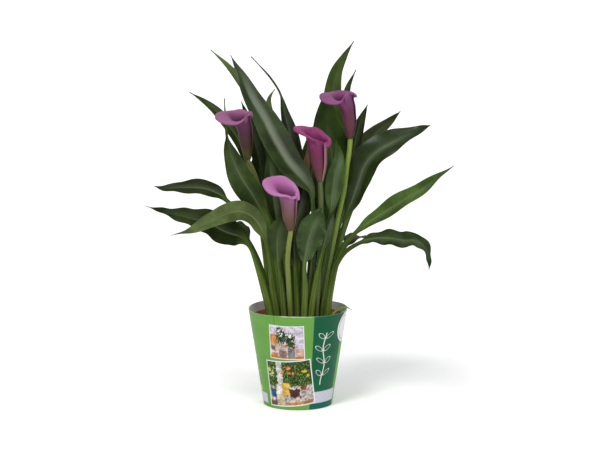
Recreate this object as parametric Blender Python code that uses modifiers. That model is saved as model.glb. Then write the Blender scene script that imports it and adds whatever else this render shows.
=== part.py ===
"""Potted calla lily: a flowering plant in its nursery pot, inside a tapered card sleeve.

Metres, +Z up. The origin is the centre of the pot's underside, on the surface the pot stands on.
+X is to the right and -Y to the front of the plant. Every leaf, flower stem, spathe and spadix
is a solid of its own. Routes and sizes of the plant are written in millimetres and scaled by MM.
"""
import math

import bmesh
import bpy
from mathutils import Vector

MM = 0.001
CLEAR = 0.3                     # gap kept between pieces that touch

# --- pot, sleeve and soil (millimetres) ---
SLEEVE_HEIGHT = 137.5
SLEEVE_FOOT_RADIUS = 48.6
SLEEVE_RIM_RADIUS = 70.0
SLEEVE_WALL = 0.5
SLEEVE_RIM_WAVE = 0.7
POT_HEIGHT = 127.0
POT_FOOT_RADIUS = 46.2
POT_BAND_LOW = 116.0
POT_NECK_RADIUS = 63.0
POT_BAND_RADIUS = 65.0
POT_RIM_RADIUS = 66.4
POT_WALL = 1.2
POT_FLOOR = 1.6
DRAIN_HOLES = 8
DRAIN_RADIUS = 4.0
DRAIN_CIRCLE = 32.0
SOIL_TOP = 113.0
SOIL_FOOT = 2.2
ROUND_SIDES = 40

# --- below the soil ---
SHOOT_FOOT = 82.0               # the shoots stand on the tubers at this height
TUBER_TOP = SHOOT_FOOT - CLEAR
TUBER_DEPTH = 24.0
TUBERS = {                      # centre x, y and half width, half depth
    "tuber_left": (-22, -1, 20, 30),
    "tuber_right_front": (20, -18.5, 22, 13.5),
    "tuber_right_back": (20, 10.5, 22, 13.5),
}
POCKET_CLEAR = 0.35             # room between a shoot and the soil round it

# --- leaves and stems ---
PETIOLE_RADIUS = 4.0
NECK_RADIUS = 2.8               # petiole where it opens into the blade
BLADE_THICK = 0.8
RIB_THICK = 1.8
DRIP_TIP = 0.11                 # a drip tip's half width, as a share of the blade's
STEM_RADIUS = 3.5
PETIOLE_STATIONS = 3
BLADE_STATIONS = 12

# Each leaf: foot (x, y) in the soil, the way its midrib takes from there, how many of those
# points belong to the petiole, half width, place of the belly along the blade, the way the
# upper side faces at the neck and at the tip, and the fold angle of each half (degrees).
# tail is where along the blade a long drip tip begins; without it the blade narrows to its end.
LEAVES = {
    "leaf_left_lower": dict(
        foot=(-37, -12), petiole=3, half=21, belly=0.30, fold=14,
        face=((-0.25, -0.8, 0.55), (0, -0.82, 0.57)),
        way=[(-48, -18, 175), (-57, -25, 203), (-67, -31, 230), (-78, -35, 243), (-99, -40, 252),
             (-125, -46, 266), (-149, -52, 274), (-174, -58, 281), (-209, -68, 293)]),
    "leaf_left_upper": dict(
        foot=(-28, -8), petiole=4, half=15, belly=0.42, fold=10,
        face=((-0.1, -0.6, 0.8), (0, -0.6, 0.8)),
        way=[(-51, 0, 249), (-65, 5, 268), (-80, 9, 278), (-97, 14, 286), (-111, 18, 297),
             (-130, 24, 304), (-150, 30, 305), (-170, 36, 304), (-189, 42, 302), (-206, 48, 305)]),
    "leaf_left_front": dict(
        foot=(-28, -20), petiole=3, half=15, belly=0.40, fold=12,
        face=((0.35, -0.9, 0.25), (0, -0.55, 0.84)),
        way=[(-36, -31, 176), (-39, -42, 208), (-43, -50, 236), (-50, -56, 258), (-63, -60, 277),
             (-80, -63, 285), (-96, -68, 283), (-119, -76, 273), (-149, -84, 261), (-174, -92, 256)]),
    "leaf_left_broad": dict(
        foot=(-19, -16), petiole=3, half=19, belly=0.46, fold=18, tail=0.74,
        face=((-0.2, -0.98, 0), (-0.3, -0.95, 0)),
        way=[(-29, -22, 207), (-32, -27, 239), (-39, -31, 264), (-53, -34, 287), (-62, -36, 303),
             (-72, -36, 319), (-82, -30, 335), (-90, -18, 351), (-96, -6, 366), (-101, 6, 400),
             (-103, 12, 434)]),
    "leaf_left_high": dict(
        foot=(-27, 3), petiole=2, half=9, belly=0.42, fold=10,
        face=((0.2, -0.9, 0.4), (0, -0.8, 0.6)),
        way=[(-51, 16, 268), (-68, 22, 324), (-80, 27, 366), (-96, 33, 391), (-116, 42, 413),
             (-135, 50, 427), (-154, 58, 438)]),
    "leaf_left_tall": dict(
        foot=(-24, 14), petiole=2, half=8, belly=0.45, fold=12,
        face=((0.3, -0.95, 0), (0.3, 0.8, -0.5)),
        way=[(-34, 36, 265), (-43, 48, 328), (-54, 56, 377), (-67, 60, 417), (-78, 63, 446),
             (-99, 68, 474), (-124, 72, 497)]),
    "leaf_left_inner": dict(
        foot=(-16, 5), petiole=1, half=11, belly=0.50, fold=12,
        face=((0.3, -0.95, 0), (0.3, -0.95, 0)),
        way=[(-37, 16, 261), (-48, 24, 310), (-58, 30, 359), (-69, 33, 398), (-80, 36, 427)]),
    "leaf_left_slim": dict(
        foot=(-8.5, -3), petiole=2, half=7, belly=0.40, fold=12,
        face=((0.2, -0.98, 0), (0.2, -0.98, 0)),
        way=[(-17, 4, 221), (-31, 6, 267), (-43, 9, 298), (-51, 11, 319), (-58, 13, 343)]),
    "leaf_centre_glossy": dict(
        foot=(13, -14), petiole=3, half=22, belly=0.42, fold=26,
        face=((0.35, -0.9, 0.2), (0.35, -0.93, 0)),
        way=[(21, -15, 206), (21, -17, 254), (21, -17, 287), (18, -16, 308), (7, -15, 322),
             (-14, -12, 346), (-33, -7, 377), (-49, -3, 408), (-67, 1, 438), (-81, 4, 469),
             (-94, 8, 495)]),
    "leaf_centre_narrow": dict(
        foot=(4, 0), petiole=2, half=15, belly=0.42, fold=20, tail=0.74,
        face=((0.1, -1, 0), (0.2, -0.9, 0.3)),
        way=[(3, 5, 213), (0, 13, 269), (-4, 19, 318), (-8, 22, 353), (-11, 24, 381),
             (-19, 27, 413), (-25, 29, 439), (-38, 31, 460), (-53, 32, 477), (-66, 32, 491)]),
    "leaf_centre_back": dict(
        foot=(-5, 9), petiole=2, half=9, belly=0.45, fold=12,
        face=((0.2, -0.95, 0), (0.2, 0.9, 0.2)),
        way=[(-8, 28, 252), (-20, 44, 314), (-33, 56, 370), (-41, 62, 409), (-41, 64, 428),
             (-33, 64, 442)]),
    "leaf_centre_dark": dict(
        foot=(-1, -24), petiole=1, half=15, belly=0.45, fold=14,
        face=((0.1, -0.98, 0), (0, -1, 0)),
        way=[(-3, -25, 193), (-5, -22, 228), (-3, -15, 254), (3, -9, 283), (7, -6, 306),
             (6, -4, 334)]),
    "leaf_front_short": dict(
        foot=(-19, -26), petiole=2, half=15, belly=0.52, fold=14,
        face=((0, -1, 0), (0, -1, 0)),
        way=[(-23, -34, 180), (-27, -38, 206), (-29, -41, 232), (-27, -42, 256), (-20, -39, 277)]),
    "leaf_front_crumpled": dict(
        foot=(8, -30), petiole=2, half=20, belly=0.55, fold=14,
        face=((0.2, -0.95, 0.2), (0.2, -0.9, 0.3)),
        way=[(10, -37, 180), (9, -43, 205), (13, -48, 234), (21, -51, 262), (33, -49, 288)]),
    "leaf_back_broad": dict(
        foot=(13.5, 4), petiole=1, half=27, belly=0.57, fold=12,
        face=((-0.1, -1, 0), (0.1, -0.95, 0.2)),
        way=[(34, 12, 201), (48, 21, 270), (51, 26, 318), (47, 30, 358), (41, 33, 395),
             (39, 36, 440)]),
    "leaf_back_tall": dict(
        foot=(8, 12), petiole=2, half=17, belly=0.42, fold=12,
        face=((-0.1, -1, 0), (0.1, -0.95, 0.2)),
        way=[(33, 25, 201), (51, 37, 275), (57, 44, 334), (53, 49, 385), (49, 52, 420),
             (50, 54, 445), (54, 55, 466), (66, 54, 490), (79, 50, 511)]),
    "leaf_back_slim": dict(
        foot=(20, 14), petiole=2, half=9, belly=0.45, fold=12,
        face=((0, -1, 0), (0, -1, 0)),
        way=[(46, 40, 222), (62, 58, 300), (69, 70, 370), (68, 76, 413), (71, 78, 441),
             (83, 80, 468)]),
    "leaf_right_upright": dict(
        foot=(23, 1.5), petiole=3, half=10, belly=0.45, fold=18,
        face=((-0.3, -0.95, 0), (-0.3, -0.95, 0)),
        way=[(47, 7, 217), (64, 12, 280), (73, 16, 330), (79, 18, 361), (87, 20, 395),
             (98, 22, 424)]),
    "leaf_right_inner": dict(
        foot=(22, -10), petiole=3, half=13, belly=0.45, fold=22,
        face=((0.1, -0.98, 0.1), (0.1, -0.98, 0)),
        way=[(37, -12, 197), (44, -15, 240), (46, -17, 270), (48, -18, 298), (52, -19, 328),
             (57, -20, 354), (53, -20, 379)]),
    "leaf_right_broad": dict(
        foot=(33, 0), petiole=2, half=22, belly=0.50, fold=16,
        face=((-0.35, -0.85, 0.4), (0, -0.72, 0.7)),
        way=[(51, 2, 203), (65, 3, 256), (78, 3, 294), (86, 1, 318), (91, -1, 334), (100, -2, 350),
             (111, -2, 361), (130, 0, 372), (153, 4, 383), (186, 10, 396)]),
    "leaf_right_back": dict(
        foot=(30, 11), petiole=2, half=13, belly=0.50, fold=12,
        face=((-0.2, -0.85, 0.4), (0, -0.75, 0.66)),
        way=[(50, 26, 223), (66, 38, 286), (80, 48, 334), (94, 56, 360), (114, 66, 381),
             (132, 74, 395), (147, 82, 408)]),
    "leaf_right_short": dict(
        foot=(41, 6.5), petiole=2, half=8, belly=0.45, fold=12,
        face=((-0.3, -0.9, 0.3), (-0.2, -0.9, 0.4)),
        way=[(57, 17, 219), (74, 23, 269), (84, 27, 293), (94, 30, 311), (106, 33, 334)]),
    "leaf_right_long": dict(
        foot=(42, -6), petiole=3, half=14.5, belly=0.44, fold=12,
        face=((-0.2, -0.7, 0.68), (0, -0.66, 0.74)),
        way=[(50, -10, 190), (59, -13, 222), (76, -16, 243), (98, -22, 262), (123, -28, 280),
             (148, -34, 297), (175, -42, 315), (198, -48, 334), (215, -54, 347)]),
    "leaf_right_drooping": dict(
        foot=(41, -18), petiole=4, half=12.5, belly=0.44, fold=10,
        face=((-0.2, -0.66, 0.72), (0.55, -0.75, 0.2)),
        way=[(47, -22, 176), (53, -28, 202), (66, -34, 223), (82, -40, 235), (103, -46, 244),
             (125, -52, 246), (147, -58, 244), (165, -64, 244), (176, -68, 235), (181, -70, 221),
             (181, -72, 204)]),
    "leaf_middle_left": dict(
        foot=(-9, -15), petiole=2, half=12, belly=0.50, fold=14,
        face=((0.2, -0.98, 0), (0.2, -0.98, 0)),
        way=[(-19, -15, 215), (-26, -20, 250), (-32, -23, 285), (-37, -25, 328), (-42, -24, 362)]),
    "leaf_middle_right": dict(
        foot=(17.5, -26), petiole=2, half=8, belly=0.42, fold=14,
        face=((0.2, -0.98, 0), (0.2, -0.98, 0)),
        way=[(27, -33, 190), (35, -38, 228), (42, -39, 255), (50, -37, 284)]),
    "leaf_rear_left": dict(
        foot=(-10, 20), petiole=1, half=20, belly=0.50, fold=14,
        face=((0.2, -0.6, 0.75), (0, 0.1, 1)),
        way=[(-18, 44, 240), (-26, 66, 320), (-36, 92, 372), (-44, 122, 396), (-50, 150, 396)]),
    "leaf_rear_centre": dict(
        foot=(5, 22), petiole=1, half=21, belly=0.50, fold=14,
        face=((0, -0.8, 0.6), (0, -0.5, 0.85)),
        way=[(10, 48, 250), (20, 68, 324), (30, 86, 366), (36, 106, 388), (38, 126, 392)]),
    "leaf_rear_right": dict(
        foot=(17, 25), petiole=3, half=17, belly=0.42, fold=14,
        face=((-0.2, -0.5, 0.8), (0, 0.3, 0.95)),
        way=[(22, 52, 220), (26, 78, 278), (30, 106, 312), (33, 132, 318), (36, 154, 302)]),
    "leaf_rear_low": dict(
        foot=(-22, 25), petiole=3, half=15, belly=0.42, fold=14,
        face=((0.1, -0.3, 0.95), (-0.1, 0.6, 0.8)),
        way=[(-30, 50, 200), (-40, 76, 246), (-52, 104, 268), (-64, 132, 262), (-74, 154, 238)]),
    "leaf_rear_outer_left": dict(
        foot=(-37, 1), petiole=3, half=13, belly=0.42, fold=14,
        face=((-0.1, -0.4, 0.9), (-0.2, 0.4, 0.9)),
        way=[(-48, 5, 170), (-59, 14, 205), (-70, 26, 228), (-82, 42, 242), (-94, 60, 248),
             (-106, 80, 244)]),
    "leaf_rear_outer_right": dict(
        foot=(40, 17), petiole=3, half=13, belly=0.42, fold=14,
        face=((0, -0.4, 0.9), (0.2, 0.4, 0.9)),
        way=[(46, 26, 165), (54, 36, 195), (67, 50, 217), (84, 68, 228), (102, 88, 222)]),
    "leaf_rear_slim": dict(
        foot=(30, 22), petiole=2, half=14, belly=0.45, fold=14,
        face=((0, -0.8, 0.6), (0, -0.3, 0.95)),
        way=[(36, 48, 220), (42, 70, 290), (46, 90, 336), (50, 110, 362), (53, 130, 368)]),
    "leaf_rear_arching": dict(
        foot=(-2, 31), petiole=3, half=15, belly=0.42, fold=14,
        face=((0, -0.3, 0.95), (0, 0.7, 0.7)),
        way=[(-3, 52, 180), (-5, 76, 230), (-8, 102, 258), (-12, 128, 262), (-16, 150, 244)]),
    "leaf_rear_short": dict(
        foot=(-35, 11), petiole=3, half=11, belly=0.42, fold=14,
        face=((0.1, -0.6, 0.8), (0, -0.3, 0.95)),
        way=[(-43, 26, 200), (-51, 42, 255), (-57, 58, 298), (-61, 74, 326), (-64, 92, 340)]),
}

# A young leaf that leans out over the rim.
RIM_LEAF = dict(
    foot=(43, -27), petiole=1, half=2.6, belly=0.45, fold=12,
    face=((-0.2, -0.5, 0.85), (0, -0.5, 0.85)),
    way=[(48, -28, 132), (58, -28, 141), (67, -26, 143), (76, -23, 139)])

# Each flower: foot of its stem, the stem's way, the spathe's axis above it, its mouth's radius and
# how full the tube is, the place of the free margin, and the lip as reach (from the axis) and
# lift (above the mouth) for azimuths 0, 30 ... 330 degrees, counted from +X towards +Y.
FLOWERS = {
    "left": dict(
        foot=(-18, -6), way=[(-24, -4, 214), (-38, -6, 261), (-53, -12, 308), (-64, -18, 339)],
        axis=[(-70, -21, 352), (-72, -23, 379), (-75, -25, 401)], mouth=10.5, fullness=0.58, seam=-24,
        rim=[(13, 14), (14, 16), (14, 17), (15, 19), (17, 20), (23, 20),
             (35, 18), (32, 11), (21, 6), (13, 9), (11, 13), (13, 14)]),
    "centre": dict(
        foot=(26, -21), way=[(30, -26, 208), (32, -31, 275), (32, -34, 305)],
        axis=[(31, -35, 323), (30, -36, 350), (27, -37, 374)], mouth=13, fullness=0.60, seam=-58,
        rim=[(19, 3), (20, 8), (19, 16), (19, 22), (20, 25), (22, 27),
             (28, 28), (23, 20), (17, 13), (13, 8), (12, 2), (15, 0)]),
    "right": dict(
        foot=(33, -11), way=[(39, -10, 172), (47, -8, 219), (57, -7, 270), (65, -8, 307),
                             (69, -9, 342), (72, -10, 362)],
        axis=[(73, -10, 380), (73, -12, 405), (68, -14, 428)], mouth=10.5, fullness=0.58, seam=-18,
        rim=[(15, 9), (17, 11), (15, 16), (15, 18), (17, 19), (24, 20),
             (32, 20), (32, 13), (17, 8), (11, 15), (11, 18), (15, 14)]),
    "front": dict(
        foot=(-10, -31), way=[(-13, -44, 182), (-14, -55, 220), (-12, -62, 242)],
        axis=[(-10, -65, 259), (-12, -67, 280), (-13, -68, 301)], mouth=11, fullness=0.62, seam=-35,
        rim=[(15, 7), (16, 14), (16, 23), (17, 29), (19, 32), (27, 32),
             (32, 27), (31, 17), (22, 11), (14, 8), (12, 5), (14, 4)]),
}
SPATHE_THICK = 0.9
SPATHE_WRAP = 2.4               # how far the outer margin stands off the inner one
SPATHE_OVERLAP = 0.12           # part of a turn that the margins overlap
SPATHE_THROAT = 5.3             # inner radius where the spathe clasps its stem
SPATHE_AROUND = 20
SPATHE_ALONG = 7
LIP_CURL = 2.5
LIP_BEND = 0.4                  # how far out the tube turns into the lip
STEM_INSIDE = 6.0               # how far the stem runs up inside its spathe
SPADIX_RADIUS = 2.9
SPADIX_LENGTH = 30.0

BUD = dict(
    foot=(3, -12), way=[(10, -4, 214), (11, 4, 270), (11, 8, 312)],
    axis=[(11, 8, 316), (13, 9, 345), (14, 9, 373)], radius=4.2)

COLOURS = {                     # base colour, roughness
    "leaf": ((0.035, 0.07, 0.012), 0.38),
    "young": ((0.2, 0.3, 0.05), 0.45),
    "stem": ((0.16, 0.24, 0.04), 0.45),
    "spathe": ((0.35, 0.07, 0.22), 0.5),
    "spadix": ((0.45, 0.2, 0.04), 0.7),
    "bud": ((0.11, 0.07, 0.025), 0.5),
    "card": ((0.13, 0.34, 0.07), 0.4),
    "pot": ((0.30, 0.09, 0.05), 0.5),
    "soil": ((0.02, 0.012, 0.008), 0.95),
    "tuber": ((0.12, 0.07, 0.035), 0.8),
}


def clear_scene():
    for item in list(bpy.data.objects):
        bpy.data.objects.remove(item, do_unlink=True)


def new_collection(name):
    group = bpy.data.collections.new(name)
    bpy.context.scene.collection.children.link(group)
    return group


def material(kind):
    found = bpy.data.materials.get(kind)
    if found:
        return found
    made = bpy.data.materials.new(kind)
    made.use_nodes = True
    shader = made.node_tree.nodes["Principled BSDF"]
    colour, rough = COLOURS[kind]
    shader.inputs["Base Color"].default_value = (*colour, 1)
    shader.inputs["Roughness"].default_value = rough
    shader.inputs["Metallic"].default_value = 0
    return made


def place_mesh(name, mesh, kind, group):
    piece = bpy.data.objects.new(name, mesh)
    mesh.materials.append(material(kind))
    mesh.shade_smooth()
    mesh.set_sharp_from_angle(angle=math.radians(40))
    group.objects.link(piece)
    return piece


def ease(x):
    x = min(max(x, 0.0), 1.0)
    return x * x * (3 - 2 * x)


def hermite(a, b, ta, tb, x):
    return (a * (2 * x**3 - 3 * x**2 + 1) + ta * (x**3 - 2 * x**2 + x)
            + b * (3 * x**2 - 2 * x**3) + tb * (x**3 - x**2))


def smooth_way(points, start=None, end=None, steps=12):
    """Dense points of a smooth curve through the given ones, and where each given one lies."""
    spans = [(b - a).length for a, b in zip(points, points[1:])]
    slopes = [(points[1] - points[0]) / spans[0]]
    for i in range(1, len(points) - 1):
        back = (points[i] - points[i - 1]) / spans[i - 1]
        ahead = (points[i + 1] - points[i]) / spans[i]
        slopes.append((back * spans[i] + ahead * spans[i - 1]) / (spans[i] + spans[i - 1]))
    slopes.append((points[-1] - points[-2]) / spans[-1])
    if start:
        slopes[0] = start
    if end:
        slopes[-1] = end
    dense = []
    for i, span in enumerate(spans):
        for k in range(steps):
            start_pull, end_pull = slopes[i] * span, slopes[i + 1] * span
            dense.append(hermite(points[i], points[i + 1], start_pull, end_pull, k / steps))
    dense.append(points[-1])
    return dense, [i * steps for i in range(len(points))]


def stations(dense, first, last, fractions):
    """Points at the given fractions of the length between two places of a dense curve."""
    run = dense[first:last + 1]
    lengths = [0.0]
    for a, b in zip(run, run[1:]):
        lengths.append(lengths[-1] + (b - a).length)
    found = []
    for fraction in fractions:
        goal = fraction * lengths[-1]
        i = next((k for k in range(1, len(run)) if lengths[k] >= goal - 1e-12), len(run) - 1)
        share = (goal - lengths[i - 1]) / (lengths[i] - lengths[i - 1])
        found.append(run[i - 1].lerp(run[i], share))
    return found


def way_from_soil(foot, way, end=None):
    """The smooth way of a shoot from the soil's top on, which it leaves upright."""
    points = [Vector((foot[0], foot[1], SOIL_TOP + 1))] + [Vector(p) for p in way]
    return smooth_way(points, start=Vector((0, 0, 1)), end=end)


def tangents(points):
    ends = [points[0]] + list(points) + [points[-1]]
    return [(ends[i + 2] - ends[i]).normalized() for i in range(len(points))]


def blade_shape(s, belly, tail):
    """Half width along a lance-shaped blade, 1 at the belly; it ends in a thin drip tip past tail."""
    thin = DRIP_TIP * min((1 - s) / 0.15, 1) if tail < 1 else 0.0
    s = s / tail
    if s <= 0 or s >= 1:
        return thin
    return max(((s / belly) ** belly * ((1 - s) / (1 - belly)) ** (1 - belly)) ** 2, thin)


def leaf_ring(centre, side, up, radius, half, flat, fold):
    """Eight points round a leaf: a round petiole at flat 0, a thin folded blade at flat 1."""
    ring = []
    for k in range(8):
        angle = math.pi - k * math.pi / 4
        round_point = side * (math.cos(angle) * radius) + up * (math.sin(angle) * radius)
        across = math.cos(angle) if k % 4 == 0 else math.copysign(0.5, math.cos(angle))
        if k in (2, 6):
            across = 0.0
        lift = abs(across) * math.sin(fold) * half
        thick = RIB_THICK if across == 0 else BLADE_THICK
        drop = thick if k > 4 else 0.0
        flat_point = side * (across * half * math.cos(fold)) + up * (lift - drop)
        ring.append(centre + round_point.lerp(flat_point, flat))
    return ring


def loft(rings):
    """One closed skin over rings of equal count, capped at both ends."""
    shape = bmesh.new()
    rows = [[shape.verts.new(p * MM) for p in ring] for ring in rings]
    count = len(rings[0])
    for low, high in zip(rows, rows[1:]):
        for k in range(count):
            shape.faces.new((low[k], low[(k + 1) % count], high[(k + 1) % count], high[k]))
    shape.faces.new(rows[0][::-1])
    shape.faces.new(rows[-1])
    bmesh.ops.recalc_face_normals(shape, faces=shape.faces)
    mesh = bpy.data.meshes.new("leaf")
    shape.to_mesh(mesh)
    shape.free()
    return mesh


def leaf(name, spec, group, kind="leaf"):
    dense, knots = way_from_soil(spec["foot"], spec["way"])
    neck = knots[spec["petiole"]]
    lower = stations(dense, 0, neck, [i / PETIOLE_STATIONS for i in range(PETIOLE_STATIONS)])
    upper = stations(dense, neck, len(dense) - 1, [i / BLADE_STATIONS for i in range(BLADE_STATIONS + 1)])
    centres = [Vector((*spec["foot"], SHOOT_FOOT))] + lower + upper
    ahead = tangents(centres)
    ahead[0] = ahead[1] = Vector((0, 0, 1))
    neck_face, tip_face = (Vector(v).normalized() for v in spec["face"])
    fold = math.radians(spec["fold"])
    rings = []
    for i, centre in enumerate(centres):
        s = (i - 1 - PETIOLE_STATIONS) / BLADE_STATIONS
        along = min(max(i - 1, 0) / PETIOLE_STATIONS, 1)
        radius = PETIOLE_RADIUS + (NECK_RADIUS - PETIOLE_RADIUS) * along
        radius = min(radius, spec["half"])
        face = neck_face.lerp(tip_face, min(max(s, 0), 1))
        up = (face - ahead[i] * face.dot(ahead[i])).normalized()
        side = ahead[i].cross(up).normalized()
        flat = ease(s / 0.2)
        width = blade_shape(s, spec["belly"], spec.get("tail", 1)) if s > 0 else 0
        half = radius * (1 - flat) + spec["half"] * width
        rings.append(leaf_ring(centre, side, up, radius, max(half, 0.6), flat, fold))
    return place_mesh(name, loft(rings), kind, group)


def tube(name, points, radius, kind, group):
    curve = bpy.data.curves.new(name, "CURVE")
    curve.dimensions = "3D"
    curve.bevel_depth = radius * MM
    curve.bevel_resolution = 2
    curve.use_fill_caps = True
    spline = curve.splines.new("POLY")
    spline.points.add(len(points) - 1)
    for knot, place in zip(spline.points, points):
        knot.co = (*(place * MM), 1)
    curve.materials.append(material(kind))
    piece = bpy.data.objects.new(name, curve)
    group.objects.link(piece)
    return piece


def flower_stem(name, spec, group):
    """A round stem from its tuber up into the foot of the spathe."""
    foot, low, ahead = spec["foot"], Vector(spec["axis"][0]), axis_start(spec)
    dense, _ = way_from_soil(foot, list(spec["way"]) + [low], end=ahead)
    places = stations(dense, 0, len(dense) - 1, [i / 9 for i in range(10)])
    places = [Vector((*foot, SHOOT_FOOT))] + places + [low + ahead * STEM_INSIDE]
    return tube(name, places, STEM_RADIUS, "stem", group)


def axis_start(spec):
    """The direction in which a spathe leaves its stem."""
    return (Vector(spec["axis"][1]) - Vector(spec["axis"][0])).normalized()


def round_value(values, turn):
    """Smooth value at a turn (0 to 1) round a ring of evenly spaced values."""
    count = len(values)
    x = (turn % 1.0) * count
    i = int(x)
    a, b, c, d = (values[(i + k - 1) % count] for k in range(4))
    return hermite(b, c, (c - a) / 2, (d - b) / 2, x - i)


def spathe_point(spec, axis, u, v):
    """A point of the rolled spathe: u from its free outer margin to its inner one, v from foot to lip."""
    turn = spec["seam"] / 360 + u * (1 + SPATHE_OVERLAP)
    reach = round_value([r[0] for r in spec["rim"]], turn)
    lift = round_value([r[1] for r in spec["rim"]], turn)
    mouth = spec["mouth"]
    height = (axis[-1] - axis[0]).length
    belly = SPATHE_THROAT + spec["fullness"] * (mouth - SPATHE_THROAT)
    profile = [(SPATHE_THROAT, 0), (belly, 0.45 * height),
               (mouth * 0.92, 0.9 * height),
               (mouth + LIP_BEND * (reach - mouth), height + 0.8 * lift + LIP_CURL),
               (reach, height + lift)]
    points = [Vector(p) for p in profile]
    dense, _ = smooth_way(points, steps=8)
    out, rise = stations(dense, 0, len(dense) - 1, [v])[0]
    out += SPATHE_WRAP * (0.5 - u)
    rise -= SPATHE_WRAP * (0.5 - u) * v * v
    bend = min(rise / height, 1.0)
    low, middle, high = axis
    centre = low.lerp(middle, bend).lerp(middle.lerp(high, bend), bend)
    up = (middle - low).lerp(high - middle, bend).normalized()
    centre = centre + up * max(rise - height, 0)
    right = Vector((1, 0, 0))
    right = (right - up * right.dot(up)).normalized()
    back = up.cross(right)
    angle = turn * math.tau
    return centre + (right * math.cos(angle) + back * math.sin(angle)) * out


def spathe(name, spec, group):
    """The petal-like sheath: a sheet rolled round the spadix, made solid to one thickness."""
    axis = [Vector(p) for p in spec["axis"]]
    shape = bmesh.new()
    rows = []
    for i in range(SPATHE_AROUND + 1):
        row = [spathe_point(spec, axis, i / SPATHE_AROUND, j / SPATHE_ALONG) for j in range(SPATHE_ALONG + 1)]
        rows.append([shape.verts.new(p * MM) for p in row])
    for a, b in zip(rows, rows[1:]):
        for j in range(SPATHE_ALONG):
            shape.faces.new((a[j], b[j], b[j + 1], a[j + 1]))
    mesh = bpy.data.meshes.new(name)
    shape.to_mesh(mesh)
    shape.free()
    piece = place_mesh(name, mesh, "spathe", group)
    solid = piece.modifiers.new("thickness", "SOLIDIFY")
    solid.thickness = SPATHE_THICK * MM
    solid.offset = 1
    return piece


def turned(name, profile, kind, group, sides=ROUND_SIDES):
    """A closed profile of (radius, height) points turned about Z."""
    mesh = bpy.data.meshes.new(name)
    points = [(r * MM, 0, z * MM) for r, z in profile]
    ends = [r for r, _ in (profile[0], profile[-1])]
    edges = [(i, i + 1) for i in range(len(points) - 1)]
    if max(ends) > 0:
        edges.append((len(points) - 1, 0))
    mesh.from_pydata(points, edges, [])
    piece = bpy.data.objects.new(name, mesh)
    mesh.materials.append(material(kind))
    group.objects.link(piece)
    turn = piece.modifiers.new("turn", "SCREW")
    turn.steps = sides
    turn.render_steps = sides
    turn.use_merge_vertices = True
    turn.merge_threshold = 0.00001
    turn.use_smooth_shade = True
    return piece


def spadix(name, spec, group):
    """The finger-shaped spike that stands on the stem's end, inside the spathe."""
    up = axis_start(spec)
    profile = [(0, SPADIX_LENGTH), (SPADIX_RADIUS * 0.6, SPADIX_LENGTH - 1.2),
               (SPADIX_RADIUS * 0.9, SPADIX_LENGTH * 0.8), (SPADIX_RADIUS, SPADIX_LENGTH * 0.35),
               (SPADIX_RADIUS * 0.9, 0), (0, 0)]
    piece = turned(name, profile, "spadix", group, sides=10)
    piece.location = (Vector(spec["axis"][0]) + up * (STEM_INSIDE + CLEAR)) * MM
    piece.rotation_mode = "QUATERNION"
    piece.rotation_quaternion = Vector((0, 0, 1)).rotation_difference(up)
    return piece


def bud(group):
    """A furled spathe, still rolled shut, above its own stem."""
    axis = [Vector(p) for p in BUD["axis"]]
    dense, _ = smooth_way(axis)
    places = stations(dense, 0, len(dense) - 1, [i / 8 for i in range(9)])
    rings = []
    for i, place in enumerate(places):
        swell = 0.85 + 0.35 * math.sin(math.pi * min(i / 8 * 1.15, 1))
        radius = max(BUD["radius"] * swell * (1 - ease((i / 8 - 0.45) / 0.55)), 0.6)
        angles = [-k * math.tau / 8 for k in range(8)]
        rings.append([place + Vector((math.cos(a), math.sin(a), 0)) * radius for a in angles])
    place_mesh("bud_furled", loft(rings), "bud", group)
    dense, _ = way_from_soil(BUD["foot"], list(BUD["way"]) + [axis[0] - Vector((0, 0, CLEAR))])
    places = stations(dense, 0, len(dense) - 1, [i / 8 for i in range(9)])
    tube("stem_bud", [Vector((*BUD["foot"], SHOOT_FOOT))] + places, STEM_RADIUS - 0.4, "stem", group)


def card_sleeve(group):
    """The printed card wrap: an open tapered ring whose rim waves a little."""
    shape = bmesh.new()
    rings = []
    for height, radius in ((0, SLEEVE_FOOT_RADIUS), (SLEEVE_HEIGHT, SLEEVE_RIM_RADIUS)):
        ring = []
        for k in range(ROUND_SIDES):
            turn = k / ROUND_SIDES * math.tau
            wave = SLEEVE_RIM_WAVE * math.sin(3 * turn + 0.6) if height else 0
            ring.append(shape.verts.new(Vector((math.cos(turn) * radius, math.sin(turn) * radius,
                                                height + wave)) * MM))
        rings.append(ring)
    for k in range(ROUND_SIDES):
        n = (k + 1) % ROUND_SIDES
        shape.faces.new((rings[0][k], rings[0][n], rings[1][n], rings[1][k]))
    mesh = bpy.data.meshes.new("card_sleeve")
    shape.to_mesh(mesh)
    shape.free()
    piece = place_mesh("card_sleeve", mesh, "card", group)
    wall = piece.modifiers.new("card", "SOLIDIFY")
    wall.thickness = SLEEVE_WALL * MM
    wall.offset = -1
    return piece


def apply_modifiers(piece):
    """Turn a modified piece into a plain mesh object, which can then be cut."""
    seen = piece.evaluated_get(bpy.context.evaluated_depsgraph_get())
    mesh = bpy.data.meshes.new_from_object(seen)
    old = piece.data
    piece.modifiers.clear()
    piece.data = mesh
    bpy.data.meshes.remove(old)


def cutter(mesh_object, group):
    mesh_object.hide_render = True
    mesh_object.display_type = "WIRE"
    for owner in list(mesh_object.users_collection):
        owner.objects.unlink(mesh_object)
    group.objects.link(mesh_object)
    return mesh_object


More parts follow.
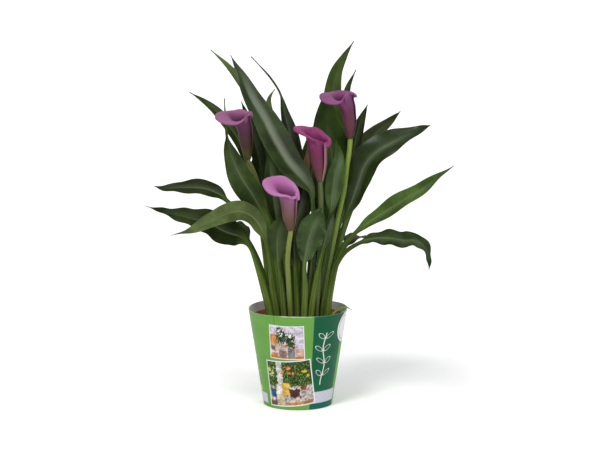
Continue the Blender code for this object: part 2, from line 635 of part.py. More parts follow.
def post(name, x, y, low, high, radius, sides, group):
    """An upright cutter."""
    shape = bmesh.new()
    bmesh.ops.create_cone(shape, cap_ends=True, segments=sides, radius1=radius * MM,
                          radius2=radius * MM, depth=(high - low) * MM)
    bmesh.ops.translate(shape, verts=shape.verts, vec=Vector((x, y, (low + high) / 2)) * MM)
    mesh = bpy.data.meshes.new(name)
    shape.to_mesh(mesh)
    shape.free()
    piece = bpy.data.objects.new(name, mesh)
    group.objects.link(piece)
    return cutter(piece, group)


def cut(piece, tool):
    step = piece.modifiers.new(tool.name, "BOOLEAN")
    step.operation = "DIFFERENCE"
    step.object = tool


def joined(name, pieces, group):
    """One mesh of several cutters that stay clear of each other."""
    shape = bmesh.new()
    for piece in pieces:
        shape.from_mesh(piece.data)
        bpy.data.objects.remove(piece, do_unlink=True)
    mesh = bpy.data.meshes.new(name)
    shape.to_mesh(mesh)
    shape.free()
    made = bpy.data.objects.new(name, mesh)
    group.objects.link(made)
    return cutter(made, group)


def nursery_pot(group, tools):
    wall = POT_WALL
    profile = [(0, 0), (POT_FOOT_RADIUS, 0), (POT_NECK_RADIUS, POT_BAND_LOW),
               (POT_BAND_RADIUS, POT_BAND_LOW), (POT_RIM_RADIUS, POT_HEIGHT),
               (POT_RIM_RADIUS - wall, POT_HEIGHT), (POT_BAND_RADIUS - wall, POT_BAND_LOW + wall),
               (POT_NECK_RADIUS - wall, POT_BAND_LOW), (POT_FOOT_RADIUS - wall, POT_FLOOR), (0, POT_FLOOR)]
    pot = turned("nursery_pot", profile[::-1], "pot", group)
    apply_modifiers(pot)
    holes = []
    for k in range(DRAIN_HOLES):
        turn = (k + 0.5) / DRAIN_HOLES * math.tau
        holes.append(post("hole", DRAIN_CIRCLE * math.cos(turn), DRAIN_CIRCLE * math.sin(turn),
                          -2, POT_FLOOR + 0.3, DRAIN_RADIUS, 12, tools))
    cut(pot, joined("drain_holes", holes, tools))
    return pot


def pot_inner_radius(height):
    share = (height - POT_FLOOR) / (POT_BAND_LOW - POT_FLOOR)
    low, high = POT_FOOT_RADIUS - POT_WALL, POT_NECK_RADIUS - POT_WALL
    return low + (high - low) * share


def tuber_shape(name, spec, grow, kind, group):
    """A flat-topped tuber, or the hollow it needs when grown a little."""
    x, y, half_x, half_y = spec
    levels = [(0.55, -TUBER_DEPTH), (0.9, -TUBER_DEPTH * 0.75), (1.0, -TUBER_DEPTH * 0.4),
              (0.92, -TUBER_DEPTH * 0.1), (0.75, 0)]
    rings = []
    for share, drop in levels:
        spread = grow if drop < 0 else grow * 0.5
        z = TUBER_TOP + drop + (grow if drop == 0 else -grow if drop == -TUBER_DEPTH else 0)
        ring = []
        for k in range(14):
            turn = -k / 14 * math.tau
            ring.append(Vector((x + (half_x * share + spread) * math.cos(turn),
                                y + (half_y * share + spread) * math.sin(turn), z)))
        rings.append(ring)
    return place_mesh(name, loft(rings), kind, group)


def soil_ball(group, tools):
    """Soil and roots, with hollows for the tubers and pockets for the shoots."""
    low, high = SOIL_FOOT, SOIL_TOP
    foot = pot_inner_radius(low) - CLEAR * 1.6
    top = pot_inner_radius(high) - CLEAR * 1.6
    soil = turned("soil", [(0, high), (top, high), (foot, low), (0, low)], "soil", group, sides=32)
    apply_modifiers(soil)
    hollows = [cutter(tuber_shape("hollow", spec, CLEAR, "soil", tools), tools) for spec in TUBERS.values()]
    cut(soil, joined("tuber_hollows", hollows, tools))
    feet = [(spec["foot"], min(PETIOLE_RADIUS, spec["half"])) for spec in [*LEAVES.values(), RIM_LEAF]]
    feet += [(spec["foot"], STEM_RADIUS) for spec in [*FLOWERS.values(), BUD]]
    pockets = []
    for (x, y), radius in feet:
        room = (radius + POCKET_CLEAR) / math.cos(math.pi / 8)
        pockets.append(post("pocket", x, y, TUBER_TOP - CLEAR / 2, SOIL_TOP + 3, room, 8, tools))
    cut(soil, joined("shoot_pockets", pockets, tools))
    return soil


def build():
    clear_scene()
    plant = new_collection("potted_calla_lily")
    tools = new_collection("cutters")
    card_sleeve(plant)
    nursery_pot(plant, tools)
    soil_ball(plant, tools)
    for name, spec in TUBERS.items():
        tuber_shape(name, spec, 0, "tuber", plant)
    for name, spec in LEAVES.items():
        leaf(name, spec, plant)
    leaf("leaf_over_rim", RIM_LEAF, plant, kind="young")
    for name, spec in FLOWERS.items():
        flower_stem("stem_" + name, spec, plant)
        spathe("spathe_" + name, spec, plant)
        spadix("spadix_" + name, spec, plant)
    bud(plant)


build()
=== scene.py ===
"""Potted calla lily: the looks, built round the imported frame.

Metres, +Z up, in the frame of the CAD: the origin is the centre of the pot's underside, +X is to
the right and -Y to the front. The plant's routes and sizes repeat those of the CAD source, in
millimetres scaled by MM, so every fine piece lies where its solid is.
"""
import math
import random

import bmesh
import bpy
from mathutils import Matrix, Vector, noise


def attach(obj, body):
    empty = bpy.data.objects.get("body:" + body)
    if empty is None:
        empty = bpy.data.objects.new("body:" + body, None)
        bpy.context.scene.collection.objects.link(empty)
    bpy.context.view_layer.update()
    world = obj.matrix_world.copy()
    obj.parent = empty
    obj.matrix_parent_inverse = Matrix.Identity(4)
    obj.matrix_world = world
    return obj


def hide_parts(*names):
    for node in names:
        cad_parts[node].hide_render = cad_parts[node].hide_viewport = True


MM = 0.001
TAU = math.tau

# --- camera, floor and light ---
CAMERA_PLACE = (0.003, -3.20, 0.76)
CAMERA_PITCH = 8.95             # degrees below the horizon
CAMERA_LENS = 138.0             # millimetres on a 36 mm sensor
FLOOR_HALF = 60.0               # metres
SUNS = {                        # direction it comes from, strength, width in degrees, colour
    "key": ((-0.45, -0.8, 1.3), 1.8, 20, (1.0, 0.985, 0.96)),
    "right": ((0.6, -1.0, 0.6), 1.0, 36, (0.97, 0.985, 1.0)),
    "back": ((0.5, 1.0, 1.1), 0.5, 30, (1.0, 1.0, 1.0)),
}
WORLD_LIGHT = 0.56
WORLD_COLOUR = (0.98, 0.99, 1.0)

# --- pot, sleeve and soil (millimetres) ---
SLEEVE_HEIGHT = 137.5
SLEEVE_FOOT_RADIUS = 48.6
SLEEVE_RIM_RADIUS = 70.0
SLEEVE_WALL = 0.5
SLEEVE_RIM_WAVE = 0.7
POT_HEIGHT = 127.0
POT_FOOT_RADIUS = 46.2
POT_BAND_LOW = 116.0
POT_NECK_RADIUS = 63.0
POT_BAND_RADIUS = 65.0
POT_RIM_RADIUS = 66.4
POT_WALL = 1.2
POT_FLOOR = 1.6
DRAIN_HOLES = 8
DRAIN_RADIUS = 4.0
DRAIN_CIRCLE = 32.0
SOIL_TOP = 113.0
SOIL_FOOT = 2.2
SOIL_CLEAR = 0.5
POT_SIDES = 180
POT_EDGE = 0.6                  # how far the pot's rim is rounded
POT_CREASE = 35                 # degrees from which an edge of the pot is sharp
SOIL_EDGE_DROP = 0.6            # how much lower the soil lies where it meets the pot
SOIL_SIDES = 150
SOIL_RINGS = 60
CRUMBS = 2600
CRUMB_SEED = 7
SLEEVE_SIDES = 260
SLEEVE_ROWS = 46
SLEEVE_DENT = 0.35
SLEEVE_CREASE = 50              # degrees
STUB_FOOT = (36, -31)           # the dry end of a cut leaf
STUB_LEAN = 1.5
STUB_LENGTH = 17
STUB_RADIUS = 2.6
STUB_SIDES = 16
STUB_ROWS = 12

# --- leaves and stems (millimetres) ---
PETIOLE_RADIUS = 4.0
NECK_RADIUS = 2.8               # petiole where it opens into the blade
SHEATH_SPREAD = 0.25            # how much wider than deep a petiole is near its foot
REAR_SPREAD = 0.9               # the same for the petioles at the back
BLADE_THICK = 0.5
RIB_DEPTH = 1.3                 # how far the midrib stands out below
RIB_HALF = 1.6
GROOVE_DEPTH = 0.45             # the midrib's channel above
GROOVE_HALF = 1.1
BLADE_CUP = 0.30                # how much each half arches between midrib and margin
DRIP_TIP = 0.11                 # a drip tip's half width, as a share of the blade's
TIP_HALF = 0.75
STEM_RADIUS = 3.5
SHOOT_DEPTH = 8                 # how far below the soil's top the fine shoots begin
DRIP_TAPER = 0.15               # part of the blade over which a drip tip narrows to its end
SLIM_HALF = 4.0                 # blades with a smaller half width are thinner too
RIB_TAPER = 0.6                 # how much of the rib's depth is lost towards the tip
WAVE_SHIFT = 1.7                # between the waves of a blade's two margins
BLADE_OPENING = 0.2             # part of the blade over which the petiole flattens into it
MARGIN_RIPPLE = 0.035
MARGIN_RIPPLES = 11
CHANNEL_DEPTH = 0.16            # the petiole's groove, as a share of its radius
SHEATH_TOP = 1.2                # where a petiole stops being broad, in its lengths above the foot
SHEATH_FADE = 0.6
STEM_SIDES = 24
STEM_STEPS = 60
STEM_RIBS = 6
PETIOLE_STEPS = 22
BLADE_STEPS = 64
ACROSS = (0.0, 0.04, 0.1, 0.2, 0.34, 0.5, 0.66, 0.8, 0.91, 0.97, 1.0)  # midrib to margin

# Each leaf: foot (x, y) in the soil, the way its midrib takes from there, how many of those
# points belong to the petiole, half width, place of the belly along the blade, the way the
# upper side faces at the neck and at the tip, and the fold angle of each half (degrees).
# tail is where along the blade a long drip tip begins; without it the blade narrows to its end.
LEAVES = {
    "leaf_left_lower": dict(
        foot=(-37, -12), petiole=3, half=21, belly=0.30, fold=14,
        face=((-0.25, -0.8, 0.55), (0, -0.82, 0.57)),
        way=[(-48, -18, 175), (-57, -25, 203), (-67, -31, 230), (-78, -35, 243), (-99, -40, 252),
             (-125, -46, 266), (-149, -52, 274), (-174, -58, 281), (-209, -68, 293)]),
    "leaf_left_upper": dict(
        foot=(-28, -8), petiole=4, half=15, belly=0.42, fold=10,
        face=((-0.1, -0.6, 0.8), (0, -0.6, 0.8)),
        way=[(-51, 0, 249), (-65, 5, 268), (-80, 9, 278), (-97, 14, 286), (-111, 18, 297),
             (-130, 24, 304), (-150, 30, 305), (-170, 36, 304), (-189, 42, 302), (-206, 48, 305)]),
    "leaf_left_front": dict(
        foot=(-28, -20), petiole=3, half=15, belly=0.40, fold=12,
        face=((0.35, -0.9, 0.25), (0, -0.55, 0.84)),
        way=[(-36, -31, 176), (-39, -42, 208), (-43, -50, 236), (-50, -56, 258), (-63, -60, 277),
             (-80, -63, 285), (-96, -68, 283), (-119, -76, 273), (-149, -84, 261), (-174, -92, 256)]),
    "leaf_left_broad": dict(
        foot=(-19, -16), petiole=3, half=19, belly=0.46, fold=18, tail=0.74,
        face=((-0.2, -0.98, 0), (-0.3, -0.95, 0)),
        way=[(-29, -22, 207), (-32, -27, 239), (-39, -31, 264), (-53, -34, 287), (-62, -36, 303),
             (-72, -36, 319), (-82, -30, 335), (-90, -18, 351), (-96, -6, 366), (-101, 6, 400),
             (-103, 12, 434)]),
    "leaf_left_high": dict(
        foot=(-27, 3), petiole=2, half=9, belly=0.42, fold=10,
        face=((0.2, -0.9, 0.4), (0, -0.8, 0.6)),
        way=[(-51, 16, 268), (-68, 22, 324), (-80, 27, 366), (-96, 33, 391), (-116, 42, 413),
             (-135, 50, 427), (-154, 58, 438)]),
    "leaf_left_tall": dict(
        foot=(-24, 14), petiole=2, half=8, belly=0.45, fold=12,
        face=((0.3, -0.95, 0), (0.3, 0.8, -0.5)),
        way=[(-34, 36, 265), (-43, 48, 328), (-54, 56, 377), (-67, 60, 417), (-78, 63, 446),
             (-99, 68, 474), (-124, 72, 497)]),
    "leaf_left_inner": dict(
        foot=(-16, 5), petiole=1, half=11, belly=0.50, fold=12,
        face=((0.3, -0.95, 0), (0.3, -0.95, 0)),
        way=[(-37, 16, 261), (-48, 24, 310), (-58, 30, 359), (-69, 33, 398), (-80, 36, 427)]),
    "leaf_left_slim": dict(
        foot=(-8.5, -3), petiole=2, half=7, belly=0.40, fold=12,
        face=((0.2, -0.98, 0), (0.2, -0.98, 0)),
        way=[(-17, 4, 221), (-31, 6, 267), (-43, 9, 298), (-51, 11, 319), (-58, 13, 343)]),
    "leaf_centre_glossy": dict(
        foot=(13, -14), petiole=3, half=22, belly=0.42, fold=26,
        face=((0.35, -0.9, 0.2), (0.35, -0.93, 0)),
        way=[(21, -15, 206), (21, -17, 254), (21, -17, 287), (18, -16, 308), (7, -15, 322),
             (-14, -12, 346), (-33, -7, 377), (-49, -3, 408), (-67, 1, 438), (-81, 4, 469),
             (-94, 8, 495)]),
    "leaf_centre_narrow": dict(
        foot=(4, 0), petiole=2, half=15, belly=0.42, fold=20, tail=0.74,
        face=((0.1, -1, 0), (0.2, -0.9, 0.3)),
        way=[(3, 5, 213), (0, 13, 269), (-4, 19, 318), (-8, 22, 353), (-11, 24, 381),
             (-19, 27, 413), (-25, 29, 439), (-38, 31, 460), (-53, 32, 477), (-66, 32, 491)]),
    "leaf_centre_back": dict(
        foot=(-5, 9), petiole=2, half=9, belly=0.45, fold=12,
        face=((0.2, -0.95, 0), (0.2, 0.9, 0.2)),
        way=[(-8, 28, 252), (-20, 44, 314), (-33, 56, 370), (-41, 62, 409), (-41, 64, 428),
             (-33, 64, 442)]),
    "leaf_centre_dark": dict(
        foot=(-1, -24), petiole=1, half=15, belly=0.45, fold=14,
        face=((0.1, -0.98, 0), (0, -1, 0)),
        way=[(-3, -25, 193), (-5, -22, 228), (-3, -15, 254), (3, -9, 283), (7, -6, 306),
             (6, -4, 334)]),
    "leaf_front_short": dict(
        foot=(-19, -26), petiole=2, half=15, belly=0.52, fold=14,
        face=((0, -1, 0), (0, -1, 0)),
        way=[(-23, -34, 180), (-27, -38, 206), (-29, -41, 232), (-27, -42, 256), (-20, -39, 277)]),
    "leaf_front_crumpled": dict(
        foot=(8, -30), petiole=2, half=20, belly=0.55, fold=14,
        face=((0.2, -0.95, 0.2), (0.2, -0.9, 0.3)),
        way=[(10, -37, 180), (9, -43, 205), (13, -48, 234), (21, -51, 262), (33, -49, 288)]),
    "leaf_back_broad": dict(
        foot=(13.5, 4), petiole=1, half=27, belly=0.57, fold=12,
        face=((-0.1, -1, 0), (0.1, -0.95, 0.2)),
        way=[(34, 12, 201), (48, 21, 270), (51, 26, 318), (47, 30, 358), (41, 33, 395),
             (39, 36, 440)]),
    "leaf_back_tall": dict(
        foot=(8, 12), petiole=2, half=17, belly=0.42, fold=12,
        face=((-0.1, -1, 0), (0.1, -0.95, 0.2)),
        way=[(33, 25, 201), (51, 37, 275), (57, 44, 334), (53, 49, 385), (49, 52, 420),
             (50, 54, 445), (54, 55, 466), (66, 54, 490), (79, 50, 511)]),
    "leaf_back_slim": dict(
        foot=(20, 14), petiole=2, half=9, belly=0.45, fold=12,
        face=((0, -1, 0), (0, -1, 0)),
        way=[(46, 40, 222), (62, 58, 300), (69, 70, 370), (68, 76, 413), (71, 78, 441),
             (83, 80, 468)]),
    "leaf_right_upright": dict(
        foot=(23, 1.5), petiole=3, half=10, belly=0.45, fold=18,
        face=((-0.3, -0.95, 0), (-0.3, -0.95, 0)),
        way=[(47, 7, 217), (64, 12, 280), (73, 16, 330), (79, 18, 361), (87, 20, 395),
             (98, 22, 424)]),
    "leaf_right_inner": dict(
        foot=(22, -10), petiole=3, half=13, belly=0.45, fold=22,
        face=((0.1, -0.98, 0.1), (0.1, -0.98, 0)),
        way=[(37, -12, 197), (44, -15, 240), (46, -17, 270), (48, -18, 298), (52, -19, 328),
             (57, -20, 354), (53, -20, 379)]),
    "leaf_right_broad": dict(
        foot=(33, 0), petiole=2, half=22, belly=0.50, fold=16,
        face=((-0.35, -0.85, 0.4), (0, -0.72, 0.7)),
        way=[(51, 2, 203), (65, 3, 256), (78, 3, 294), (86, 1, 318), (91, -1, 334), (100, -2, 350),
             (111, -2, 361), (130, 0, 372), (153, 4, 383), (186, 10, 396)]),
    "leaf_right_back": dict(
        foot=(30, 11), petiole=2, half=13, belly=0.50, fold=12,
        face=((-0.2, -0.85, 0.4), (0, -0.75, 0.66)),
        way=[(50, 26, 223), (66, 38, 286), (80, 48, 334), (94, 56, 360), (114, 66, 381),
             (132, 74, 395), (147, 82, 408)]),
    "leaf_right_short": dict(
        foot=(41, 6.5), petiole=2, half=8, belly=0.45, fold=12,
        face=((-0.3, -0.9, 0.3), (-0.2, -0.9, 0.4)),
        way=[(57, 17, 219), (74, 23, 269), (84, 27, 293), (94, 30, 311), (106, 33, 334)]),
    "leaf_right_long": dict(
        foot=(42, -6), petiole=3, half=14.5, belly=0.44, fold=12,
        face=((-0.2, -0.7, 0.68), (0, -0.66, 0.74)),
        way=[(50, -10, 190), (59, -13, 222), (76, -16, 243), (98, -22, 262), (123, -28, 280),
             (148, -34, 297), (175, -42, 315), (198, -48, 334), (215, -54, 347)]),
    "leaf_right_drooping": dict(
        foot=(41, -18), petiole=4, half=12.5, belly=0.44, fold=10,
        face=((-0.2, -0.66, 0.72), (0.55, -0.75, 0.2)),
        way=[(47, -22, 176), (53, -28, 202), (66, -34, 223), (82, -40, 235), (103, -46, 244),
             (125, -52, 246), (147, -58, 244), (165, -64, 244), (176, -68, 235), (181, -70, 221),
             (181, -72, 204)]),
    "leaf_middle_left": dict(
        foot=(-9, -15), petiole=2, half=12, belly=0.50, fold=14,
        face=((0.2, -0.98, 0), (0.2, -0.98, 0)),
        way=[(-19, -15, 215), (-26, -20, 250), (-32, -23, 285), (-37, -25, 328), (-42, -24, 362)]),
    "leaf_middle_right": dict(
        foot=(17.5, -26), petiole=2, half=8, belly=0.42, fold=14,
        face=((0.2, -0.98, 0), (0.2, -0.98, 0)),
        way=[(27, -33, 190), (35, -38, 228), (42, -39, 255), (50, -37, 284)]),
    "leaf_rear_left": dict(
        foot=(-10, 20), petiole=1, half=20, belly=0.50, fold=14,
        face=((0.2, -0.6, 0.75), (0, 0.1, 1)),
        way=[(-18, 44, 240), (-26, 66, 320), (-36, 92, 372), (-44, 122, 396), (-50, 150, 396)]),
    "leaf_rear_centre": dict(
        foot=(5, 22), petiole=1, half=21, belly=0.50, fold=14,
        face=((0, -0.8, 0.6), (0, -0.5, 0.85)),
        way=[(10, 48, 250), (20, 68, 324), (30, 86, 366), (36, 106, 388), (38, 126, 392)]),
    "leaf_rear_right": dict(
        foot=(17, 25), petiole=3, half=17, belly=0.42, fold=14,
        face=((-0.2, -0.5, 0.8), (0, 0.3, 0.95)),
        way=[(22, 52, 220), (26, 78, 278), (30, 106, 312), (33, 132, 318), (36, 154, 302)]),
    "leaf_rear_low": dict(
        foot=(-22, 25), petiole=3, half=15, belly=0.42, fold=14,
        face=((0.1, -0.3, 0.95), (-0.1, 0.6, 0.8)),
        way=[(-30, 50, 200), (-40, 76, 246), (-52, 104, 268), (-64, 132, 262), (-74, 154, 238)]),
    "leaf_rear_outer_left": dict(
        foot=(-37, 1), petiole=3, half=13, belly=0.42, fold=14,
        face=((-0.1, -0.4, 0.9), (-0.2, 0.4, 0.9)),
        way=[(-48, 5, 170), (-59, 14, 205), (-70, 26, 228), (-82, 42, 242), (-94, 60, 248),
             (-106, 80, 244)]),
    "leaf_rear_outer_right": dict(
        foot=(40, 17), petiole=3, half=13, belly=0.42, fold=14,
        face=((0, -0.4, 0.9), (0.2, 0.4, 0.9)),
        way=[(46, 26, 165), (54, 36, 195), (67, 50, 217), (84, 68, 228), (102, 88, 222)]),
    "leaf_rear_slim": dict(
        foot=(30, 22), petiole=2, half=14, belly=0.45, fold=14,
        face=((0, -0.8, 0.6), (0, -0.3, 0.95)),
        way=[(36, 48, 220), (42, 70, 290), (46, 90, 336), (50, 110, 362), (53, 130, 368)]),
    "leaf_rear_arching": dict(
        foot=(-2, 31), petiole=3, half=15, belly=0.42, fold=14,
        face=((0, -0.3, 0.95), (0, 0.7, 0.7)),
        way=[(-3, 52, 180), (-5, 76, 230), (-8, 102, 258), (-12, 128, 262), (-16, 150, 244)]),
    "leaf_rear_short": dict(
        foot=(-35, 11), petiole=3, half=11, belly=0.42, fold=14,
        face=((0.1, -0.6, 0.8), (0, -0.3, 0.95)),
        way=[(-43, 26, 200), (-51, 42, 255), (-57, 58, 298), (-61, 74, 326), (-64, 92, 340)]),
}

# A young leaf that leans out over the rim.
RIM_LEAF = dict(
    foot=(43, -27), petiole=1, half=2.6, belly=0.45, fold=12,
    face=((-0.2, -0.5, 0.85), (0, -0.5, 0.85)),
    way=[(48, -28, 132), (58, -28, 141), (67, -26, 143), (76, -23, 139)])

# --- flowers (millimetres) ---
SPATHE_WRAP = 2.4               # how far the outer margin stands off the inner one
SPATHE_OVERLAP = 0.12           # part of a turn that the margins overlap
SPATHE_THROAT = 4.0             # close round its stem
SPATHE_THICK = 0.9
SPATHE_AROUND = 130
SPATHE_ALONG = 56
LIP_CURL = 2.5
LIP_BEND = 0.4                  # how far out the tube turns into the lip
FLAP_WIDTH = 0.06               # part of the turn over which the free margin flares
LIP_ROLL = 2.6                  # how far the lip's edge rolls down
LIP_POINT = 3.0                 # length of the point on the widest side of the lip
LIP_POINT_WIDTH = 0.05          # part of a turn
LIP_RIPPLE = 0.7
LIP_RIPPLES = 5
MARGIN_WIDTH = 0.04             # part of the sheet over which it thins towards its two margins
STEM_INSIDE = 6.0
SPADIX_RADIUS = 2.9
SPADIX_LENGTH = 30.0
PLAY = 0.3
SPADIX_CORE = 0.93              # share of its radius that lies under the florets
FLORET_DEPTH = 0.07
FLORET_SPIRALS = 6
FLORET_TURN = 40                # how far the spirals of florets turn, in radians
SPADIX_SIDES = 60
SPADIX_ROWS = 90
BUD_LEAST = 0.5                 # radius of the bud's tip
BUD_STEM_SLIMMER = 0.4
BUD_SIDES = 48
BUD_ROWS = 60

# Each flower: foot of its stem, the stem's way, the spathe's axis above it, its mouth's radius and
# how full the tube is, the place of the free margin, and the lip as reach (from the axis) and
# lift (above the mouth) for azimuths 0, 30 ... 330 degrees, counted from +X towards +Y.
FLOWERS = {
    "left": dict(
        foot=(-18, -6), way=[(-24, -4, 214), (-38, -6, 261), (-53, -12, 308), (-64, -18, 339)],
        axis=[(-70, -21, 352), (-72, -23, 379), (-75, -25, 401)], mouth=10.5, fullness=0.58, seam=-24,
        rim=[(13, 14), (14, 16), (14, 17), (15, 19), (17, 20), (23, 20),
             (35, 18), (32, 11), (21, 6), (13, 9), (11, 13), (13, 14)]),
    "centre": dict(
        foot=(26, -21), way=[(30, -26, 208), (32, -31, 275), (32, -34, 305)],
        axis=[(31, -35, 323), (30, -36, 350), (27, -37, 374)], mouth=13, fullness=0.60, seam=-58,
        rim=[(19, 3), (20, 8), (19, 16), (19, 22), (20, 25), (22, 27),
             (28, 28), (23, 20), (17, 13), (13, 8), (12, 2), (15, 0)]),
    "right": dict(
        foot=(33, -11), way=[(39, -10, 172), (47, -8, 219), (57, -7, 270), (65, -8, 307),
                             (69, -9, 342), (72, -10, 362)],
        axis=[(73, -10, 380), (73, -12, 405), (68, -14, 428)], mouth=10.5, fullness=0.58, seam=-18,
        rim=[(15, 9), (17, 11), (15, 16), (15, 18), (17, 19), (24, 20),
             (32, 20), (32, 13), (17, 8), (11, 15), (11, 18), (15, 14)]),
    "front": dict(
        foot=(-10, -31), way=[(-13, -44, 182), (-14, -55, 220), (-12, -62, 242)],
        axis=[(-10, -65, 259), (-12, -67, 280), (-13, -68, 301)], mouth=11, fullness=0.62, seam=-35,
        rim=[(15, 7), (16, 14), (16, 23), (17, 29), (19, 32), (27, 32),
             (32, 27), (31, 17), (22, 11), (14, 8), (12, 5), (14, 4)]),
}
BUD = dict(
    foot=(3, -12), way=[(10, -4, 214), (11, 4, 270), (11, 8, 312)],
    axis=[(11, 8, 316), (13, 9, 345), (14, 9, 373)], radius=4.2)

# How each leaf looks: colour of its upper side, margin waves (millimetres, number of them), how
# strong the painted highlight beside its midrib is (a pale band that stands in for gloss) and how many
# millimetres it reaches, its roughness and its gloss. What a leaf leaves out it takes from DEFAULT_LOOK.
DEFAULT_LOOK = dict(tone=(0.018, 0.036, 0.006), wave=(1.2, 3), painted_highlight=0.15, reach=9, rough=0.45, gloss=0.1)
# Each leaf's tone was matched to how bright that leaf looks where it stands, so part of the spread between
# the darkest and the lightest tones is painted shade and painted light, not the leaf's own colour.
LEAF_LOOKS = {
    "leaf_over_rim": dict(tone=(0.130, 0.194, 0.032), wave=(0.3, 2), painted_highlight=0.0),
    "leaf_left_lower": dict(tone=(0.014, 0.024, 0.004), wave=(2.4, 5), painted_highlight=0.1),
    "leaf_left_upper": dict(tone=(0.013, 0.022, 0.003)),
    "leaf_left_front": dict(tone=(0.061, 0.086, 0.024), wave=(1.6, 3), painted_highlight=0.1),
    "leaf_left_broad": dict(tone=(0.022, 0.040, 0.007), wave=(1.4, 3)),
    "leaf_left_high": dict(tone=(0.023, 0.040, 0.007), wave=(0.6, 2), painted_highlight=0.1),
    "leaf_left_tall": dict(tone=(0.065, 0.090, 0.029), wave=(0.4, 2), painted_highlight=0.1),
    "leaf_left_inner": dict(tone=(0.013, 0.024, 0.004), wave=(0.8, 2), painted_highlight=0.1),
    "leaf_left_slim": dict(tone=(0.019, 0.032, 0.006), wave=(0.5, 2), painted_highlight=0.1),
    "leaf_centre_glossy": dict(tone=(0.018, 0.034, 0.006), wave=(1.6, 3), painted_highlight=0.95, reach=12,
                               rough=0.30, gloss=0.5),
    "leaf_centre_narrow": dict(tone=(0.007, 0.013, 0.002), wave=(1.0, 3), painted_highlight=0.2, rough=0.30, gloss=0.3),
    "leaf_centre_back": dict(tone=(0.083, 0.112, 0.043), wave=(0.5, 2), painted_highlight=0.1),
    "leaf_centre_dark": dict(tone=(0.008, 0.014, 0.002), wave=(0.8, 2), painted_highlight=0.2),
    "leaf_front_short": dict(tone=(0.024, 0.042, 0.008), wave=(1.8, 3), painted_highlight=0.15, gloss=0.2),
    "leaf_front_crumpled": dict(tone=(0.023, 0.045, 0.008), wave=(3.6, 4), painted_highlight=0.25,
                                rough=0.36, gloss=0.25),
    "leaf_back_broad": dict(tone=(0.020, 0.040, 0.006), wave=(1.6, 3), painted_highlight=0.1),
    "leaf_back_tall": dict(tone=(0.036, 0.058, 0.010), wave=(0.8, 2), painted_highlight=0.1),
    "leaf_back_slim": dict(tone=(0.033, 0.056, 0.011), wave=(0.4, 2), painted_highlight=0.1),
    "leaf_right_upright": dict(tone=(0.014, 0.026, 0.004), wave=(0.8, 2), painted_highlight=0.2),
    "leaf_right_inner": dict(tone=(0.034, 0.068, 0.012), wave=(1.0, 2), painted_highlight=0.5, rough=0.36, gloss=0.2),
    "leaf_right_broad": dict(tone=(0.012, 0.024, 0.003), wave=(1.8, 4), painted_highlight=0.3, reach=10,
                             rough=0.30, gloss=0.25),
    "leaf_right_back": dict(tone=(0.020, 0.027, 0.005), wave=(0.8, 3), painted_highlight=0.1),
    "leaf_right_short": dict(tone=(0.017, 0.030, 0.006), wave=(0.6, 2), painted_highlight=0.1),
    "leaf_right_long": dict(tone=(0.044, 0.086, 0.014), wave=(1.4, 3), painted_highlight=0.25),
    "leaf_right_drooping": dict(tone=(0.016, 0.032, 0.006), wave=(2.6, 5), painted_highlight=0.2),
    "leaf_middle_left": dict(tone=(0.014, 0.026, 0.004), wave=(0.6, 2), painted_highlight=0.3),
    "leaf_middle_right": dict(tone=(0.019, 0.036, 0.006), wave=(0.6, 2), painted_highlight=0.3),
}
PETIOLE_TONES = ((0.066, 0.115, 0.015), (0.130, 0.195, 0.027))   # at the neck, at the foot
PETIOLE_SHADES = (0.40, 1.35)    # the darkest and the lightest petiole
YOUNG_STRAND = (0.230, 0.310, 0.060)
DARK_STRAND = (0.010, 0.020, 0.004)
UNDER_TONE = (0.085, 0.120, 0.042)
UNDER_SHARE = 0.45              # how far a leaf's underside goes from its tone towards UNDER_TONE
BLADE_MOTTLE = (0.58, 1.36)     # the darkest and the lightest parts of a blade's upper side
UNDER_MOTTLE = (0.85, 1.2)      # the same for its underside
VEIN_SPACING = 2.3              # millimetres
VEIN_SLANT = 1.25               # how far a vein climbs for each millimetre outwards
VEIN_WANDER = 5.0
RIB_TONE = (0.170, 0.230, 0.075)
# pale colour of the painted highlight beside the midrib, which stands in for the gloss the light puts there
PAINTED_HIGHLIGHT_TONE = (0.290, 0.325, 0.245)

# Each spathe: how far its free margin flares, and its colours from foot to lip, outside and inside.
SPATHE_LOOKS = {
    "left": dict(flap=0.0,
                 outside=[(0.060, 0.060, 0.013), (0.040, 0.021, 0.011), (0.060, 0.019, 0.033),
                          (0.096, 0.027, 0.070), (0.242, 0.096, 0.181)],
                 inside=[(0.010, 0.002, 0.002), (0.027, 0.002, 0.008), (0.079, 0.013, 0.043),
                         (0.197, 0.059, 0.144), (0.282, 0.108, 0.216)]),
    "centre": dict(flap=4.5,
                   outside=[(0.085, 0.046, 0.027), (0.112, 0.033, 0.046), (0.131, 0.021, 0.066),
                            (0.158, 0.025, 0.085), (0.197, 0.033, 0.115)],
                   inside=[(0.025, 0.002, 0.005), (0.058, 0.003, 0.018), (0.116, 0.012, 0.045),
                           (0.189, 0.028, 0.099), (0.247, 0.041, 0.140)]),
    "right": dict(flap=0.0,
                  outside=[(0.071, 0.032, 0.021), (0.100, 0.032, 0.047), (0.100, 0.025, 0.057),
                           (0.150, 0.040, 0.122), (0.229, 0.071, 0.193)],
                  inside=[(0.015, 0.003, 0.004), (0.036, 0.003, 0.011), (0.072, 0.009, 0.033),
                          (0.166, 0.040, 0.123), (0.231, 0.069, 0.187)]),
    "front": dict(flap=1.0,
                  outside=[(0.077, 0.045, 0.021), (0.109, 0.054, 0.038), (0.160, 0.074, 0.090),
                           (0.230, 0.090, 0.173), (0.332, 0.134, 0.287)],
                  inside=[(0.024, 0.001, 0.007), (0.048, 0.002, 0.016), (0.120, 0.014, 0.067),
                          (0.319, 0.104, 0.263), (0.415, 0.163, 0.359)]),
}
FLAP_TONE = (0.300, 0.160, 0.150)
SPATHE_STOPS = (0.0, 0.28, 0.56, 0.80, 1.0)   # where the five colours lie between foot and lip
SPATHE_VEINS = 62
